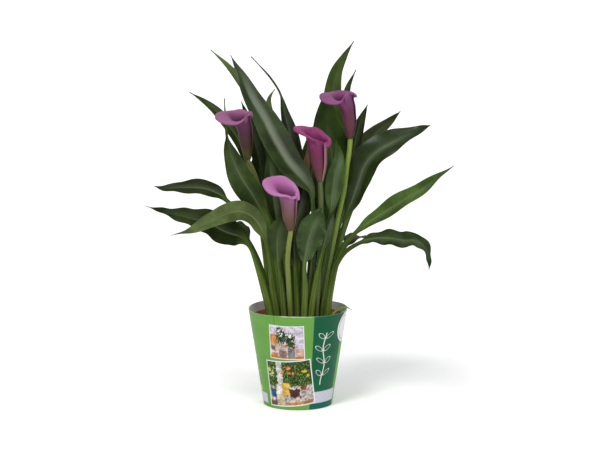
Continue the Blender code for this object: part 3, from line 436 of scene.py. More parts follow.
STEM_TONES = {                  # at the spathe, at the foot
    "left": ((0.117, 0.125, 0.027), (0.086, 0.117, 0.023)),
    "centre": ((0.070, 0.086, 0.027), (0.070, 0.109, 0.023)),
    "right": ((0.179, 0.257, 0.035), (0.117, 0.179, 0.027)),
    "front": ((0.164, 0.203, 0.039), (0.125, 0.164, 0.031)),
    "bud": ((0.086, 0.094, 0.023), (0.086, 0.117, 0.023)),
}

# --- printed sleeve: places on the flat sheet (x, y from the foot in millimetres) ---
LIGHT_GREEN = (0.112, 0.285, 0.050)
DARK_GREEN = (0.001, 0.074, 0.030)
TEAL = (0.002, 0.098, 0.068)
PRINT_WHITE = (0.68, 0.65, 0.66)
BAND_TURN = (19.3, 68.0)        # degrees round from the front
BAND_LOW = 26.0
STRIP_LOW = 9.0
CREASE_TURN = -28.7
UPPER_PICTURE = dict(centre=(-16.4, 100.2), size=(51.5, 49.8), tilt=2.0)
LOWER_PICTURE = dict(centre=(-12.0, 39.2), size=(68.0, 68.0), tilt=6.5)
PICTURE_FRAME = 0.022           # width of a picture's white edge, as a share of its size
BADGE = dict(centre=(87.4, 106.5), radius=21.5)
SPRIG_TURN = 36.5               # the printed sprig's place round the sleeve
SPRIG_SPAN = (36.0, 117.0)
SPRIG_STEP = 9.0                # height from one pair of leaves to the next
SPRIG_LEAF = (6.5, 5.6, 3.3)    # how far out a leaf's middle is, half its length and its width
SPRIG_SLANT = 0.55
STRIP_LINES = 1.9               # height of the pale strip's lines
SIDE_PATCH = (-80.0, -57.0, 6.0, 20.0)        # degrees from and to, height from and to
SIDE_FLOWERS = (-88.0, -66.0, 40.0, 92.0)
SIDE_SPOT = (-79.0, -72.5, 22.0, 29.0)

# The printed pictures. Each block: its left, right, low and high edge as parts of the picture, its
# tone and how ragged it is. Each clump of leaves: its centre, half size and its flowers' tone.
UPPER_BLOCKS = [
    ((0.74, 1.0, 0.0, 0.32), (0.62, 0.40, 0.30), 0.0),
    ((0.0, 1.0, 0.0, 0.09), (0.55, 0.22, 0.08), 0.0),
    ((0.02, 0.30, 0.44, 0.72), (0.64, 0.26, 0.08), 0.10),
    ((0.02, 0.50, 0.24, 0.44), (0.50, 0.40, 0.34), 0.16),
    ((0.06, 0.17, 0.27, 0.38), (0.16, 0.08, 0.05), 0.10),
    ((0.04, 0.24, 0.03, 0.19), (0.58, 0.22, 0.08), 0.09),
    ((0.28, 0.51, 0.04, 0.27), (0.26, 0.17, 0.13), 0.14),
    ((0.66, 0.74, 0.34, 0.50), (0.66, 0.28, 0.12), 0.04),
    ((0.42, 0.52, 0.36, 0.46), (0.66, 0.26, 0.10), 0.06),
    ((0.53, 0.73, 0.04, 0.34), (0.20, 0.19, 0.20), 0.02),
    ((0.22, 0.36, 0.82, 0.95), (0.06, 0.04, 0.12), 0.12),
]
UPPER_LEAVES = ((0.006, 0.022, 0.006), (0.06, 0.13, 0.03))     # dark and light tone
UPPER_CLUMPS = [
    ((0.36, 0.68), (0.17, 0.22), (0.80, 0.80, 0.66)),
    ((0.62, 0.54), (0.15, 0.24), (0.82, 0.86, 0.66)),
]
LOWER_POST = ((0.24, 0.37, 0.45, 1.0), (0.62, 0.62, 0.58), 0.10)
LOWER_TABLE = (0.0, 1.0, 0.0, 0.44)
LOWER_BLOCKS = [
    ((0.20, 0.33, 0.16, 0.52), (0.74, 0.72, 0.68), 0.14),
    ((0.0, 0.18, 0.0, 0.14), (0.16, 0.09, 0.05), 0.16),
    ((0.42, 0.95, 0.02, 0.09), (0.46, 0.20, 0.06), 0.16),
    ((0.05, 0.18, 0.20, 0.38), (0.01, 0.09, 0.21), 0.05),
    ((0.33, 0.50, 0.26, 0.52), (0.70, 0.44, 0.08), 0.06),
    ((0.24, 0.36, 0.02, 0.28), (0.58, 0.46, 0.26), 0.16),
    ((0.48, 0.70, 0.20, 0.38), (0.07, 0.03, 0.025), 0.16),
    ((0.73, 0.85, 0.34, 0.44), (0.34, 0.08, 0.05), 0.06),
]
LOWER_LEAVES = ((0.008, 0.026, 0.006), (0.17, 0.30, 0.04))
LOWER_CLUMPS = [
    ((0.12, 0.66), (0.11, 0.26), (0.72, 0.76, 0.30)),
    ((0.48, 0.70), (0.14, 0.19), (0.86, 0.26, 0.10)),
    ((0.80, 0.62), (0.12, 0.22), (0.86, 0.66, 0.05)),
]


# --- curves ---
def ease(x):
    x = min(max(x, 0.0), 1.0)
    return x * x * (3 - 2 * x)


def hermite(a, b, ta, tb, x):
    return (a * (2 * x**3 - 3 * x**2 + 1) + ta * (x**3 - 2 * x**2 + x)
            + b * (3 * x**2 - 2 * x**3) + tb * (x**3 - x**2))


def smooth_way(points, start=None, end=None, steps=12):
    """Dense points of a smooth curve through the given ones, and where each given one lies."""
    spans = [(b - a).length for a, b in zip(points, points[1:])]
    slopes = [(points[1] - points[0]) / spans[0]]
    for i in range(1, len(points) - 1):
        back = (points[i] - points[i - 1]) / spans[i - 1]
        ahead = (points[i + 1] - points[i]) / spans[i]
        slopes.append((back * spans[i] + ahead * spans[i - 1]) / (spans[i] + spans[i - 1]))
    slopes.append((points[-1] - points[-2]) / spans[-1])
    if start:
        slopes[0] = start
    if end:
        slopes[-1] = end
    dense = []
    for i, span in enumerate(spans):
        for k in range(steps):
            start_pull, end_pull = slopes[i] * span, slopes[i + 1] * span
            dense.append(hermite(points[i], points[i + 1], start_pull, end_pull, k / steps))
    dense.append(points[-1])
    return dense, [i * steps for i in range(len(points))]


def stations(dense, first, last, count):
    """Evenly spaced points, count + 1 of them, between two places of a dense curve."""
    run = dense[first:last + 1]
    lengths = [0.0]
    for a, b in zip(run, run[1:]):
        lengths.append(lengths[-1] + (b - a).length)
    found = []
    i = 1
    for step in range(count + 1):
        goal = step / count * lengths[-1]
        while i < len(run) - 1 and lengths[i] < goal:
            i += 1
        share = (goal - lengths[i - 1]) / (lengths[i] - lengths[i - 1])
        found.append(run[i - 1].lerp(run[i], share))
    return found


def way_from_soil(foot, way, end=None):
    """The smooth way of a shoot from the soil's top on, which it leaves upright."""
    points = [Vector((foot[0], foot[1], SOIL_TOP + 1))] + [Vector(p) for p in way]
    return smooth_way(points, start=Vector((0, 0, 1)), end=end, steps=16)


def tangents(points):
    ends = [points[0]] + list(points) + [points[-1]]
    return [(ends[i + 2] - ends[i]).normalized() for i in range(len(points))]


def round_value(values, turn):
    """Smooth value at a turn (0 to 1) round a ring of evenly spaced values."""
    count = len(values)
    x = (turn % 1.0) * count
    i = int(x)
    a, b, c, d = (values[(i + k - 1) % count] for k in range(4))
    return hermite(b, c, (c - a) / 2, (d - b) / 2, x - i)


# --- meshes ---
def make_piece(name, points, faces, facts, finish, node):
    """A smooth mesh piece that stands for one CAD node; facts are named vectors per point."""
    mesh = bpy.data.meshes.new(name)
    mesh.from_pydata([p * MM for p in points], [], faces)
    shape = bmesh.new()
    shape.from_mesh(mesh)
    bmesh.ops.recalc_face_normals(shape, faces=shape.faces)
    shape.to_mesh(mesh)
    shape.free()
    for label, values in facts.items():
        layer = mesh.attributes.new(label, "FLOAT_VECTOR", "POINT")
        layer.data.foreach_set("vector", [c for v in values for c in v])
    mesh.shade_smooth()
    mesh.materials.append(finish)
    piece = bpy.data.objects.new(name, mesh)
    looks.objects.link(piece)
    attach(piece, "root")
    if node:
        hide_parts(node)
    return piece


def ring_place(radius, angle, height):
    """The point at an angle round Z."""
    return Vector((radius * math.cos(angle), radius * math.sin(angle), height))


def ring_faces(rows, count, joined=False):
    """Faces of a skin over rows of count points, with its ends capped or joined to each other."""
    faces = []
    for i in range(rows if joined else rows - 1):
        low, high = i * count, (i + 1) % rows * count
        for k in range(count):
            n = (k + 1) % count
            faces.append((low + k, low + n, high + n, high + k))
    if not joined:
        faces += [tuple(range(count)), tuple(range((rows - 1) * count, rows * count))]
    return faces


# --- leaves ---
def section_places():
    """Round a leaf's section: (across, 1) over the top from margin to margin, (across, 0) below."""
    over = [-a for a in reversed(ACROSS)] + list(ACROSS[1:])
    under = over[-2:0:-1]
    return [(a, 1.0) for a in over] + [(a, 0.0) for a in under]


SECTION = section_places()


def blade_shape(s, belly, tail):
    """Half width along a lance-shaped blade, 1 at the belly; it ends in a thin drip tip past tail."""
    thin = DRIP_TIP * min((1 - s) / DRIP_TAPER, 1) if tail < 1 else 0.0
    s = s / tail
    if s <= 0 or s >= 1:
        return thin
    return max(((s / belly) ** belly * ((1 - s) / (1 - belly)) ** (1 - belly)) ** 2, thin)


def blade_offset(across, top, s, half, fold, wave):
    """Where a point of the blade lies: aside from the midrib, and towards the upper side."""
    reach = abs(across) * half
    lift = math.sin(fold) * half * (abs(across) + BLADE_CUP * (abs(across) - across * across))
    slim = min(half / SLIM_HALF, 1.0)
    size, count, phase = wave
    phase += WAVE_SHIFT if across < 0 else 0.0
    sway = size * slim * across * across * math.sin(TAU * count * s + phase)
    if top:
        drop = GROOVE_DEPTH * slim * math.exp(-(reach / GROOVE_HALF) ** 2)
    else:
        drop = BLADE_THICK * slim * math.sqrt(max(1 - across**6, 0))
        drop += RIB_DEPTH * slim * (1 - RIB_TAPER * s) * math.exp(-(reach / RIB_HALF) ** 2)
    return across * half * math.cos(fold), lift + sway - drop


def petiole_offset(place, radius, down, spread):
    """Round a petiole's section: channelled above, and sheathing out to the sides lower down."""
    angle = math.pi - place / len(SECTION) * TAU
    channel = CHANNEL_DEPTH * max(math.sin(angle), 0) ** 6
    broad = 1 + spread * ease((SHEATH_TOP - down) / SHEATH_FADE)
    return radius * broad * math.cos(angle), radius * math.sin(angle) * (1 - channel)


def leaf(name, spec):
    """A leaf grown as one piece: a fleshy petiole that opens into a folded, wavy blade."""
    look = {**DEFAULT_LOOK, **LEAF_LOOKS.get(name, {})}
    seed = noise.noise(Vector((len(name) * 1.7, spec["foot"][0] * 0.31, spec["foot"][1] * 0.37)))
    dense, knots = way_from_soil(spec["foot"], spec["way"])
    neck = knots[spec["petiole"]]
    lower = stations(dense, 0, neck, PETIOLE_STEPS)
    upper = stations(dense, neck, len(dense) - 1, BLADE_STEPS)
    centres = [Vector((*spec["foot"], SOIL_TOP - SHOOT_DEPTH))] + lower[:-1] + upper
    ahead = tangents(centres)
    neck_face, tip_face = (Vector(v).normalized() for v in spec["face"])
    fold = math.radians(spec["fold"])
    wave = (*look["wave"], seed * 9)
    spread = REAR_SPREAD if name.startswith("leaf_rear") else SHEATH_SPREAD
    points, places, runs = [], [], []
    walked = 0.0
    for i, centre in enumerate(centres):
        walked += (centre - centres[i - 1]).length if i else 0.0
        s = (i - 1 - PETIOLE_STEPS) / BLADE_STEPS
        down = min(max(i - 1, 0) / PETIOLE_STEPS, 1)
        radius = min(PETIOLE_RADIUS + (NECK_RADIUS - PETIOLE_RADIUS) * down, spec["half"])
        face = neck_face.lerp(tip_face, min(max(s, 0), 1))
        up = (face - ahead[i] * face.dot(ahead[i])).normalized()
        side = ahead[i].cross(up).normalized()
        flat = ease(s / BLADE_OPENING)
        width = blade_shape(s, spec["belly"], spec.get("tail", 1)) if s > 0 else 0
        ripple = 1 + MARGIN_RIPPLE * math.sin(MARGIN_RIPPLES * s + seed * 20) * flat
        half = max(radius * (1 - flat) + spec["half"] * width * ripple, TIP_HALF)
        for k, (across, top) in enumerate(SECTION):
            aside, rise = blade_offset(across, top, max(s, 0), half, fold, wave)
            round_aside, round_rise = petiole_offset(k, radius, down, spread)
            aside = round_aside + (aside - round_aside) * flat
            rise = round_rise + (rise - round_rise) * flat
            points.append(centre + side * aside + up * rise)
            places.append((across, s if s > 0 else down - 1, top))
            runs.append((abs(across) * half, walked, flat))
    faces = ring_faces(len(centres), len(SECTION))
    finish = leaf_finish(name, look, seed)
    make_piece(name + "_blade", points, faces, {"place": places, "run": runs}, finish, name)


# --- stems, flowers and bud ---
def stem(name, foot, places, radius, tones):
    """A round flower stem with faint ribs, from the soil up along the given places."""
    centres = [Vector((*foot, SOIL_TOP - SHOOT_DEPTH))] + places
    ahead = tangents(centres)
    points, facts = [], []
    side = Vector((1, 0, 0))
    for i, centre in enumerate(centres):
        side = (side - ahead[i] * side.dot(ahead[i])).normalized()
        back = ahead[i].cross(side)
        for k in range(STEM_SIDES):
            angle = k / STEM_SIDES * TAU
            ribbed = radius * (1 + 0.02 * math.sin(STEM_RIBS * angle))
            points.append(centre + (side * math.cos(angle) + back * math.sin(angle)) * ribbed)
            facts.append((k / STEM_SIDES, i / (len(centres) - 1), 0))
    faces = ring_faces(len(centres), STEM_SIDES)
    finish = stem_finish(name, *tones)
    make_piece(name + "_stalk", points, faces, {"place": facts}, finish, name)


def axis_start(spec):
    """The direction in which a spathe leaves its stem."""
    return (Vector(spec["axis"][1]) - Vector(spec["axis"][0])).normalized()


def flower_stem(name, spec):
    low, ahead = Vector(spec["axis"][0]), axis_start(spec)
    dense, _ = way_from_soil(spec["foot"], list(spec["way"]) + [low], end=ahead)
    places = stations(dense, 0, len(dense) - 1, STEM_STEPS) + [low + ahead * STEM_INSIDE]
    stem("stem_" + name, spec["foot"], places, STEM_RADIUS, STEM_TONES[name])


def spathe_point(name, spec, axis, u, v):
    """A point of the rolled spathe: u from its free outer margin to the inner one, v up to its lip."""
    turn = spec["seam"] / 360 + u * (1 + SPATHE_OVERLAP)
    reach = round_value([r[0] for r in spec["rim"]], turn)
    lift = round_value([r[1] for r in spec["rim"]], turn)
    widest = spec["rim"].index(max(spec["rim"])) / len(spec["rim"])
    apart = (turn - widest + 0.5) % 1.0 - 0.5
    reach += LIP_POINT * math.exp(-(apart / LIP_POINT_WIDTH) ** 2)
    mouth = spec["mouth"]
    height = (axis[-1] - axis[0]).length
    belly = SPATHE_THROAT + spec["fullness"] * (mouth - SPATHE_THROAT)
    profile = [(SPATHE_THROAT, 0), (belly, 0.45 * height),
               (mouth * 0.92, 0.9 * height),
               (mouth + LIP_BEND * (reach - mouth), height + 0.8 * lift + LIP_CURL),
               (reach - 0.6, height + lift + 0.4),
               (reach, height + lift - LIP_ROLL)]
    dense, _ = smooth_way([Vector(p) for p in profile], steps=10)
    out, rise = stations_at(dense, v)
    wrap = SPATHE_WRAP * (0.35 + 0.65 * ease(v / 0.5))
    out += wrap * (0.5 - u) + SPATHE_LOOKS[name]["flap"] * math.exp(-(u / FLAP_WIDTH) ** 2) * v
    rise -= wrap * (0.5 - u) * v * v
    rise += LIP_RIPPLE * v**4 * math.sin(TAU * LIP_RIPPLES * turn + height)
    bend = min(rise / height, 1.0)
    low, middle, high = axis
    centre = low.lerp(middle, bend).lerp(middle.lerp(high, bend), bend)
    up = (middle - low).lerp(high - middle, bend).normalized()
    centre = centre + up * max(rise - height, 0)
    right = Vector((1, 0, 0))
    right = (right - up * right.dot(up)).normalized()
    back = up.cross(right)
    angle = turn * TAU
    return centre + (right * math.cos(angle) + back * math.sin(angle)) * out


def stations_at(dense, fraction):
    """The point at one fraction of a dense curve's length."""
    lengths = [(b - a).length for a, b in zip(dense, dense[1:])]
    goal = fraction * sum(lengths)
    for a, b, length in zip(dense, dense[1:], lengths):
        if goal <= length:
            return a.lerp(b, goal / length)
        goal -= length
    return dense[-1]


def grid_normals(grid):
    """Normals of a grid of points, out of its turning and rising directions."""
    wide, tall = len(grid), len(grid[0])
    found = []
    for i in range(wide):
        row = []
        for j in range(tall):
            turn = grid[min(i + 1, wide - 1)][j] - grid[max(i - 1, 0)][j]
            rise = grid[i][min(j + 1, tall - 1)] - grid[i][max(j - 1, 0)]
            row.append(turn.cross(rise).normalized())
        found.append(row)
    return found


def spathe(name, spec):
    """The petal-like sheath: a sheet rolled round the spadix, thick as it is and thin at the edge."""
    axis = [Vector(p) for p in spec["axis"]]
    wide, tall = SPATHE_AROUND + 1, SPATHE_ALONG + 1
    inner = [[spathe_point(name, spec, axis, i / SPATHE_AROUND, j / SPATHE_ALONG) for j in range(tall)]
             for i in range(wide)]
    normals = grid_normals(inner)
    points, facts = [], []
    for inside in (1.0, 0.0):
        for i in range(wide):
            for j in range(tall):
                u, v = i / SPATHE_AROUND, j / SPATHE_ALONG
                margin = min(min(u, 1 - u) / MARGIN_WIDTH, 1.0)
                thick = SPATHE_THICK * (0.45 + 0.55 * margin) * (1 - 0.5 * v**8)
                thick *= 0.5 + 0.5 * ease(v / 0.3)
                points.append(inner[i][j] + normals[i][j] * (0 if inside else thick))
                facts.append((u, v, inside))
    faces = []
    layer = wide * tall
    for i in range(wide - 1):
        for j in range(tall - 1):
            a, b = i * tall + j, (i + 1) * tall + j
            faces.append((a, b, b + 1, a + 1))
            faces.append((layer + a, layer + a + 1, layer + b + 1, layer + b))
    border = [(i, 0) for i in range(wide)] + [(wide - 1, j) for j in range(1, tall)]
    border += [(i, tall - 1) for i in range(wide - 2, -1, -1)] + [(0, j) for j in range(tall - 2, 0, -1)]
    for (i, j), (k, m) in zip(border, border[1:] + border[:1]):
        a, b = i * tall + j, k * tall + m
        faces.append((a, b, layer + b, layer + a))
    finish = spathe_finish("spathe_" + name, SPATHE_LOOKS[name])
    make_piece("spathe_" + name + "_petal", points, faces, {"place": facts}, finish,
               "spathe_" + name)


def spadix(name, spec):
    """The spike inside the spathe, pebbled with tiny florets in spirals."""
    up = axis_start(spec)
    low = Vector(spec["axis"][0]) + up * (STEM_INSIDE + PLAY)
    turn_to = Vector((0, 0, 1)).rotation_difference(up)
    sides = SPADIX_SIDES
    points, facts = [], []
    for i in range(SPADIX_ROWS + 1):
        share = i / SPADIX_ROWS
        body = SPADIX_RADIUS * (0.9 + 0.1 * math.sin(math.pi * share))
        body *= math.sqrt(max(1 - max((share - 0.8) / 0.2, 0) ** 2, 0.0004))
        for k in range(sides):
            angle = k / sides * TAU
            around, along = FLORET_SPIRALS * angle, FLORET_TURN * share
            floret = abs(math.cos(around + along)) * abs(math.cos(around - along))
            radius = body * (SPADIX_CORE + FLORET_DEPTH * floret)
            points.append(low + turn_to @ ring_place(radius, angle, share * SPADIX_LENGTH))
            facts.append((floret, share, 0))
    make_piece("spadix_" + name + "_spike", points, ring_faces(SPADIX_ROWS + 1, sides),
               {"place": facts}, spadix_finish(), "spadix_" + name)


def bud():
    """A furled spathe, rolled shut in a spiral, above its own stem."""
    axis = [Vector(p) for p in BUD["axis"]]
    dense, _ = smooth_way(axis)
    sides, rows = BUD_SIDES, BUD_ROWS
    points, facts = [], []
    for i, place in enumerate(stations(dense, 0, len(dense) - 1, rows)):
        share = i / rows
        swell = 0.85 + 0.35 * math.sin(math.pi * min(share * 1.15, 1))
        radius = max(BUD["radius"] * swell * (1 - ease((share - 0.45) / 0.55)), BUD_LEAST)
        for k in range(sides):
            wrap = (k / sides - 0.35 - 0.45 * share) % 1.0
            angle = k / sides * TAU
            out = radius * (0.9 + 0.16 * wrap)
            points.append(place + Vector((math.cos(angle), math.sin(angle), 0)) * out)
            facts.append((wrap, share, 0))
    make_piece("bud_furled_roll", points, ring_faces(rows + 1, sides), {"place": facts},
               bud_finish(), "bud_furled")
    top = axis[0] - Vector((0, 0, PLAY))
    dense, _ = way_from_soil(BUD["foot"], list(BUD["way"]) + [top])
    places = stations(dense, 0, len(dense) - 1, STEM_STEPS)
    stem("stem_bud", BUD["foot"], places, STEM_RADIUS - BUD_STEM_SLIMMER, STEM_TONES["bud"])


def dry_stub():
    """The dry end of a leaf that was cut off, just above the soil."""
    sides, rows = STUB_SIDES, STUB_ROWS
    x, y = STUB_FOOT
    points, facts = [], []
    for i in range(rows + 1):
        share = i / rows
        centre = Vector((x + STUB_LEAN * share, y, SOIL_TOP - 2 + STUB_LENGTH * share))
        for k in range(sides):
            angle = k / sides * TAU
            radius = STUB_RADIUS * (1 - 0.45 * share) * (1 + 0.12 * math.sin(3 * angle))
            points.append(centre + Vector((math.cos(angle), 0.6 * math.sin(angle), 0)) * radius)
            facts.append((k / sides, share, 0))
    make_piece("dry_stub", points, ring_faces(rows + 1, sides), {"place": facts}, stub_finish(),
               None)


# --- pot, soil and sleeve ---
def lathe(rings, sides):
    """Points of (radius, height) rings round Z."""
    return [ring_place(radius, k / sides * TAU, height) for radius, height in rings for k in range(sides)]


def rounded(a, b, lift, steps=6):
    """A half round of profile points from a over to b, that stands out by lift."""
    found = []
    for i in range(1, steps):
        angle = math.pi * i / steps
        share = (1 - math.cos(angle)) / 2
        radius, height = (low + (high - low) * share for low, high in zip(a, b))
        found.append((radius, height + lift * math.sin(angle)))
    return found


def nursery_pot():
    """The thin moulded pot: stepped band and rounded rim, and drain holes."""
    wall = POT_WALL
    outer_rim = (POT_RIM_RADIUS, POT_HEIGHT - POT_EDGE)
    inner_rim = (POT_RIM_RADIUS - wall, POT_HEIGHT - POT_EDGE)
    profile = [(0.5, 0), (POT_FOOT_RADIUS - 1, 0), (POT_FOOT_RADIUS, 1), (POT_NECK_RADIUS, POT_BAND_LOW),
               (POT_BAND_RADIUS - 0.3, POT_BAND_LOW), (POT_BAND_RADIUS, POT_BAND_LOW + 0.4), outer_rim]
    profile += rounded(outer_rim, inner_rim, POT_EDGE) + [inner_rim]
    profile += [(POT_BAND_RADIUS - wall, POT_BAND_LOW + wall), (POT_NECK_RADIUS - wall, POT_BAND_LOW),
                (POT_FOOT_RADIUS - wall, POT_FLOOR), (0.5, POT_FLOOR)]
    points = lathe(profile, POT_SIDES)
    faces = ring_faces(len(profile), POT_SIDES, joined=True)
    piece = make_piece("nursery_pot_shell", points, faces, {}, pot_finish(), "nursery_pot")
    holes = bmesh.new()
    for k in range(DRAIN_HOLES):
        turn = (k + 0.5) / DRAIN_HOLES * TAU
        drill = bmesh.ops.create_cone(holes, cap_ends=True, segments=32, radius1=DRAIN_RADIUS * MM,
                                      radius2=DRAIN_RADIUS * MM, depth=4 * POT_FLOOR * MM)
        centre = ring_place(DRAIN_CIRCLE, turn, 0) * MM
        bmesh.ops.translate(holes, verts=drill["verts"], vec=centre)
    mesh = bpy.data.meshes.new("drain_holes")
    holes.to_mesh(mesh)
    holes.free()
    tool = bpy.data.objects.new("drain_holes", mesh)
    looks.objects.link(tool)
    cut = piece.modifiers.new("drain_holes", "BOOLEAN")
    cut.operation = "DIFFERENCE"
    cut.object = tool
    seen = piece.evaluated_get(bpy.context.evaluated_depsgraph_get())
    drilled = bpy.data.meshes.new_from_object(seen)
    piece.modifiers.clear()
    piece.data = drilled
    bpy.data.objects.remove(tool)
    drilled.shade_smooth()
    drilled.set_sharp_from_angle(angle=math.radians(POT_CREASE))


def pot_inner_radius(height):
    share = (height - POT_FLOOR) / (POT_BAND_LOW - POT_FLOOR)
    low, high = POT_FOOT_RADIUS - POT_WALL, POT_NECK_RADIUS - POT_WALL
    return low + (high - low) * share


def soil_height(x, y):
    """The soil's uneven top."""
    place = Vector((x, y, 0))
    return SOIL_TOP + 1.6 * noise.noise(place / 17) + 0.9 * noise.noise(place / 5)


def soil():
    """The soil: an uneven crumbly top over a plain body, with loose crumbs lying on it."""
    top = pot_inner_radius(SOIL_TOP) - SOIL_CLEAR
    foot = pot_inner_radius(SOIL_FOOT) - SOIL_CLEAR
    points = []
    for i in range(1, SOIL_RINGS + 1):
        radius = top * i / SOIL_RINGS
        for k in range(SOIL_SIDES):
            angle = k / SOIL_SIDES * TAU
            x, y = radius * math.cos(angle), radius * math.sin(angle)
            points.append(Vector((x, y, soil_height(x, y) - SOIL_EDGE_DROP * (i == SOIL_RINGS))))
    points += lathe([(top, SOIL_TOP - 3), (foot, SOIL_FOOT), (0.5, SOIL_FOOT)], SOIL_SIDES)
    faces = ring_faces(SOIL_RINGS + 3, SOIL_SIDES)
    plain = {"crumb": [(0, 0, 0)] * len(points)}
    make_piece("soil_body", points, faces, plain, soil_finish(), "soil")
    crumbs(top)


BOX_FACES = ((0, 2, 3, 1), (4, 5, 7, 6), (0, 1, 5, 4), (2, 6, 7, 3), (0, 4, 6, 2), (1, 3, 7, 5))


def crumbs(top):
    """Bits of bark, peat and grit lying on the soil, in one mesh."""
    dice = random.Random(CRUMB_SEED)
    points, faces, facts = [], [], []
    for _ in range(CRUMBS):
        radius, angle = (top - 1.5) * math.sqrt(dice.random()), dice.random() * TAU
        x, y = radius * math.cos(angle), radius * math.sin(angle)
        size = 0.5 + 1.3 * dice.random() ** 3
        centre = Vector((x, y, soil_height(x, y) + 0.2 * size))
        shade = (dice.random(), dice.random(), dice.random())
        spin = Vector((dice.random(), dice.random(), dice.random())).to_track_quat("Z", "Y")
        start = len(points)
        for corner in range(8):
            signs = Vector([(corner >> bit & 1) * 2 - 1 for bit in range(3)])
            jolt = Vector((dice.uniform(0.6, 1.2), dice.uniform(0.5, 1.0), dice.uniform(0.3, 0.7)))
            points.append(centre + spin @ (signs * jolt * size * 0.6))
            facts.append(shade)
        for quad in BOX_FACES:
            faces.append(tuple(start + corner for corner in quad))
    piece = make_piece("soil_crumbs", points, faces, {"crumb": facts}, soil_finish(), None)
    piece.data.shade_flat()


def sleeve_radius(height):
    return SLEEVE_FOOT_RADIUS + (SLEEVE_RIM_RADIUS - SLEEVE_FOOT_RADIUS) * height / SLEEVE_HEIGHT


def card_sleeve():
    """The printed card wrap: thin, slightly dented, its rim waving a little."""
    sides, rows = SLEEVE_SIDES, SLEEVE_ROWS
    points, card = [], []
    for inside in (0, 1):
        for j in range(rows + 1):
            share = j / rows if not inside else 1 - j / rows
            for k in range(sides):
                turn = k / sides * TAU
                height = SLEEVE_HEIGHT * share + SLEEVE_RIM_WAVE * share**3 * math.sin(3 * turn + 0.6)
                height = max(height, 0.0)
                place = ring_place(1, turn, share * 1.3)
                dent = SLEEVE_DENT * share * noise.noise(place * 2.3)
                radius = sleeve_radius(SLEEVE_HEIGHT * share) + dent - SLEEVE_WALL * inside
                points.append(ring_place(radius, turn, height))
                card.append((inside, 0, 0))
    faces = ring_faces(2 * (rows + 1), sides, joined=True)
    piece = make_piece("card_sleeve_wrap", points, faces, {"card": card},
                       card_finish(), "card_sleeve")
    piece.data.set_sharp_from_angle(angle=math.radians(SLEEVE_CREASE))


# --- materials ---
class Paint:
    """A short way to write a material's nodes: values are numbers, colours or sockets."""

    def __init__(self, name):
        self.material = bpy.data.materials.new(name)
        self.material.use_nodes = True
        self.tree = self.material.node_tree
        self.shader = self.tree.nodes["Principled BSDF"]

    def node(self, kind, inputs=(), output=0, **settings):
        made = self.tree.nodes.new("ShaderNode" + kind)
        for key, value in settings.items():
            setattr(made, key, value)
        for place, value in enumerate(inputs):
            self.feed(made.inputs[place], value)
        return made.outputs[output]

    def feed(self, socket, value):
        if value is None:
            return
        if isinstance(value, bpy.types.NodeSocket):
            self.tree.links.new(value, socket)
        elif isinstance(value, (tuple, list)) and socket.type == "RGBA":
            socket.default_value = (*value, 1)
        else:
            socket.default_value = value

    def fact(self, name):
        """The three numbers of a named vector on the mesh."""
        return self.parts(self.node("Attribute", output=1, attribute_name=name))

    def parts(self, vector):
        made = self.tree.nodes.new("ShaderNodeSeparateXYZ")
        self.feed(made.inputs[0], vector)
        return made.outputs[0], made.outputs[1], made.outputs[2]

    def place(self):
        return self.node("TexCoord", output=3)

    def math(self, operation, a, b=None, c=None):
        return self.node("Math", (a, b, c), operation=operation)

    def add(self, a, b):
        return self.math("ADD", a, b)

    def less(self, a, b):
        return self.math("SUBTRACT", a, b)

    def times(self, a, b):
        return self.math("MULTIPLY", a, b)

    def step(self, value, low, high, from_low=0.0, to_high=1.0):
        """A smooth step of value from low to high."""
        return self.node("MapRange", (value, low, high, from_low, to_high),
                         interpolation_type="SMOOTHSTEP")

    def between(self, value, low, high, soft):
        """1 from low to high, with soft edges."""
        return self.times(self.step(value, low - soft, low + soft),
                          self.step(value, high + soft, high - soft))

    def inside(self, x, y, box, soft, soft_y=None):
        """1 where x and y are in a box of left, right, low and high edge, which is soft."""
        left, right, low, high = box
        return self.times(self.between(x, left, right, soft), self.between(y, low, high, soft_y or soft))

    def length(self, x, y):
        """The length of a flat vector."""
        return self.math("SQRT", self.add(self.math("POWER", x, 2), self.math("POWER", y, 2)))

    def vector(self, x, y, z=0.0):
        return self.node("CombineXYZ", (x, y, z))

    def noise(self, vector, scale, detail=3.0, roughness=0.55, colour=False):
        made = self.tree.nodes.new("ShaderNodeTexNoise")
        named = {"Vector": vector, "Scale": scale, "Detail": detail, "Roughness": roughness}
        for key, value in named.items():
            self.feed(made.inputs[key], value)
        return made.outputs["Color" if colour else "Fac"]

    def cells(self, vector, scale):
        made = self.tree.nodes.new("ShaderNodeTexVoronoi")
        self.feed(made.inputs["Vector"], vector)
        self.feed(made.inputs["Scale"], scale)
        return made.outputs["Distance"]

    def mix(self, share, low, high, kind="MIX"):
        made = self.tree.nodes.new("ShaderNodeMix")
        made.data_type = "RGBA"
        made.blend_type = kind
        self.feed(made.inputs[0], share)
        self.feed(made.inputs[6], low)
        self.feed(made.inputs[7], high)
        return made.outputs[2]

    def ramp(self, value, stops):
        """A colour ramp over value, through (place, colour) stops."""
        made = self.tree.nodes.new("ShaderNodeValToRGB")
        self.feed(made.inputs[0], value)
        band = made.color_ramp
        while len(band.elements) < len(stops):
            band.elements.new(0.5)
        for element, (place, colour) in zip(band.elements, stops):
            element.position = place
            element.color = (*colour, 1)
        return made.outputs[0]

    def bump(self, height, distance, strength=1.0, under=None):
        made = self.tree.nodes.new("ShaderNodeBump")
        self.feed(made.inputs["Height"], height)
        self.feed(made.inputs["Distance"], distance)
        self.feed(made.inputs["Strength"], strength)
        self.feed(made.inputs["Normal"], under)
        return made.outputs[0]

    def finish(self, **sockets):
        for name, value in sockets.items():
            self.feed(self.shader.inputs[name.replace("_", " ")], value)
        return self.material


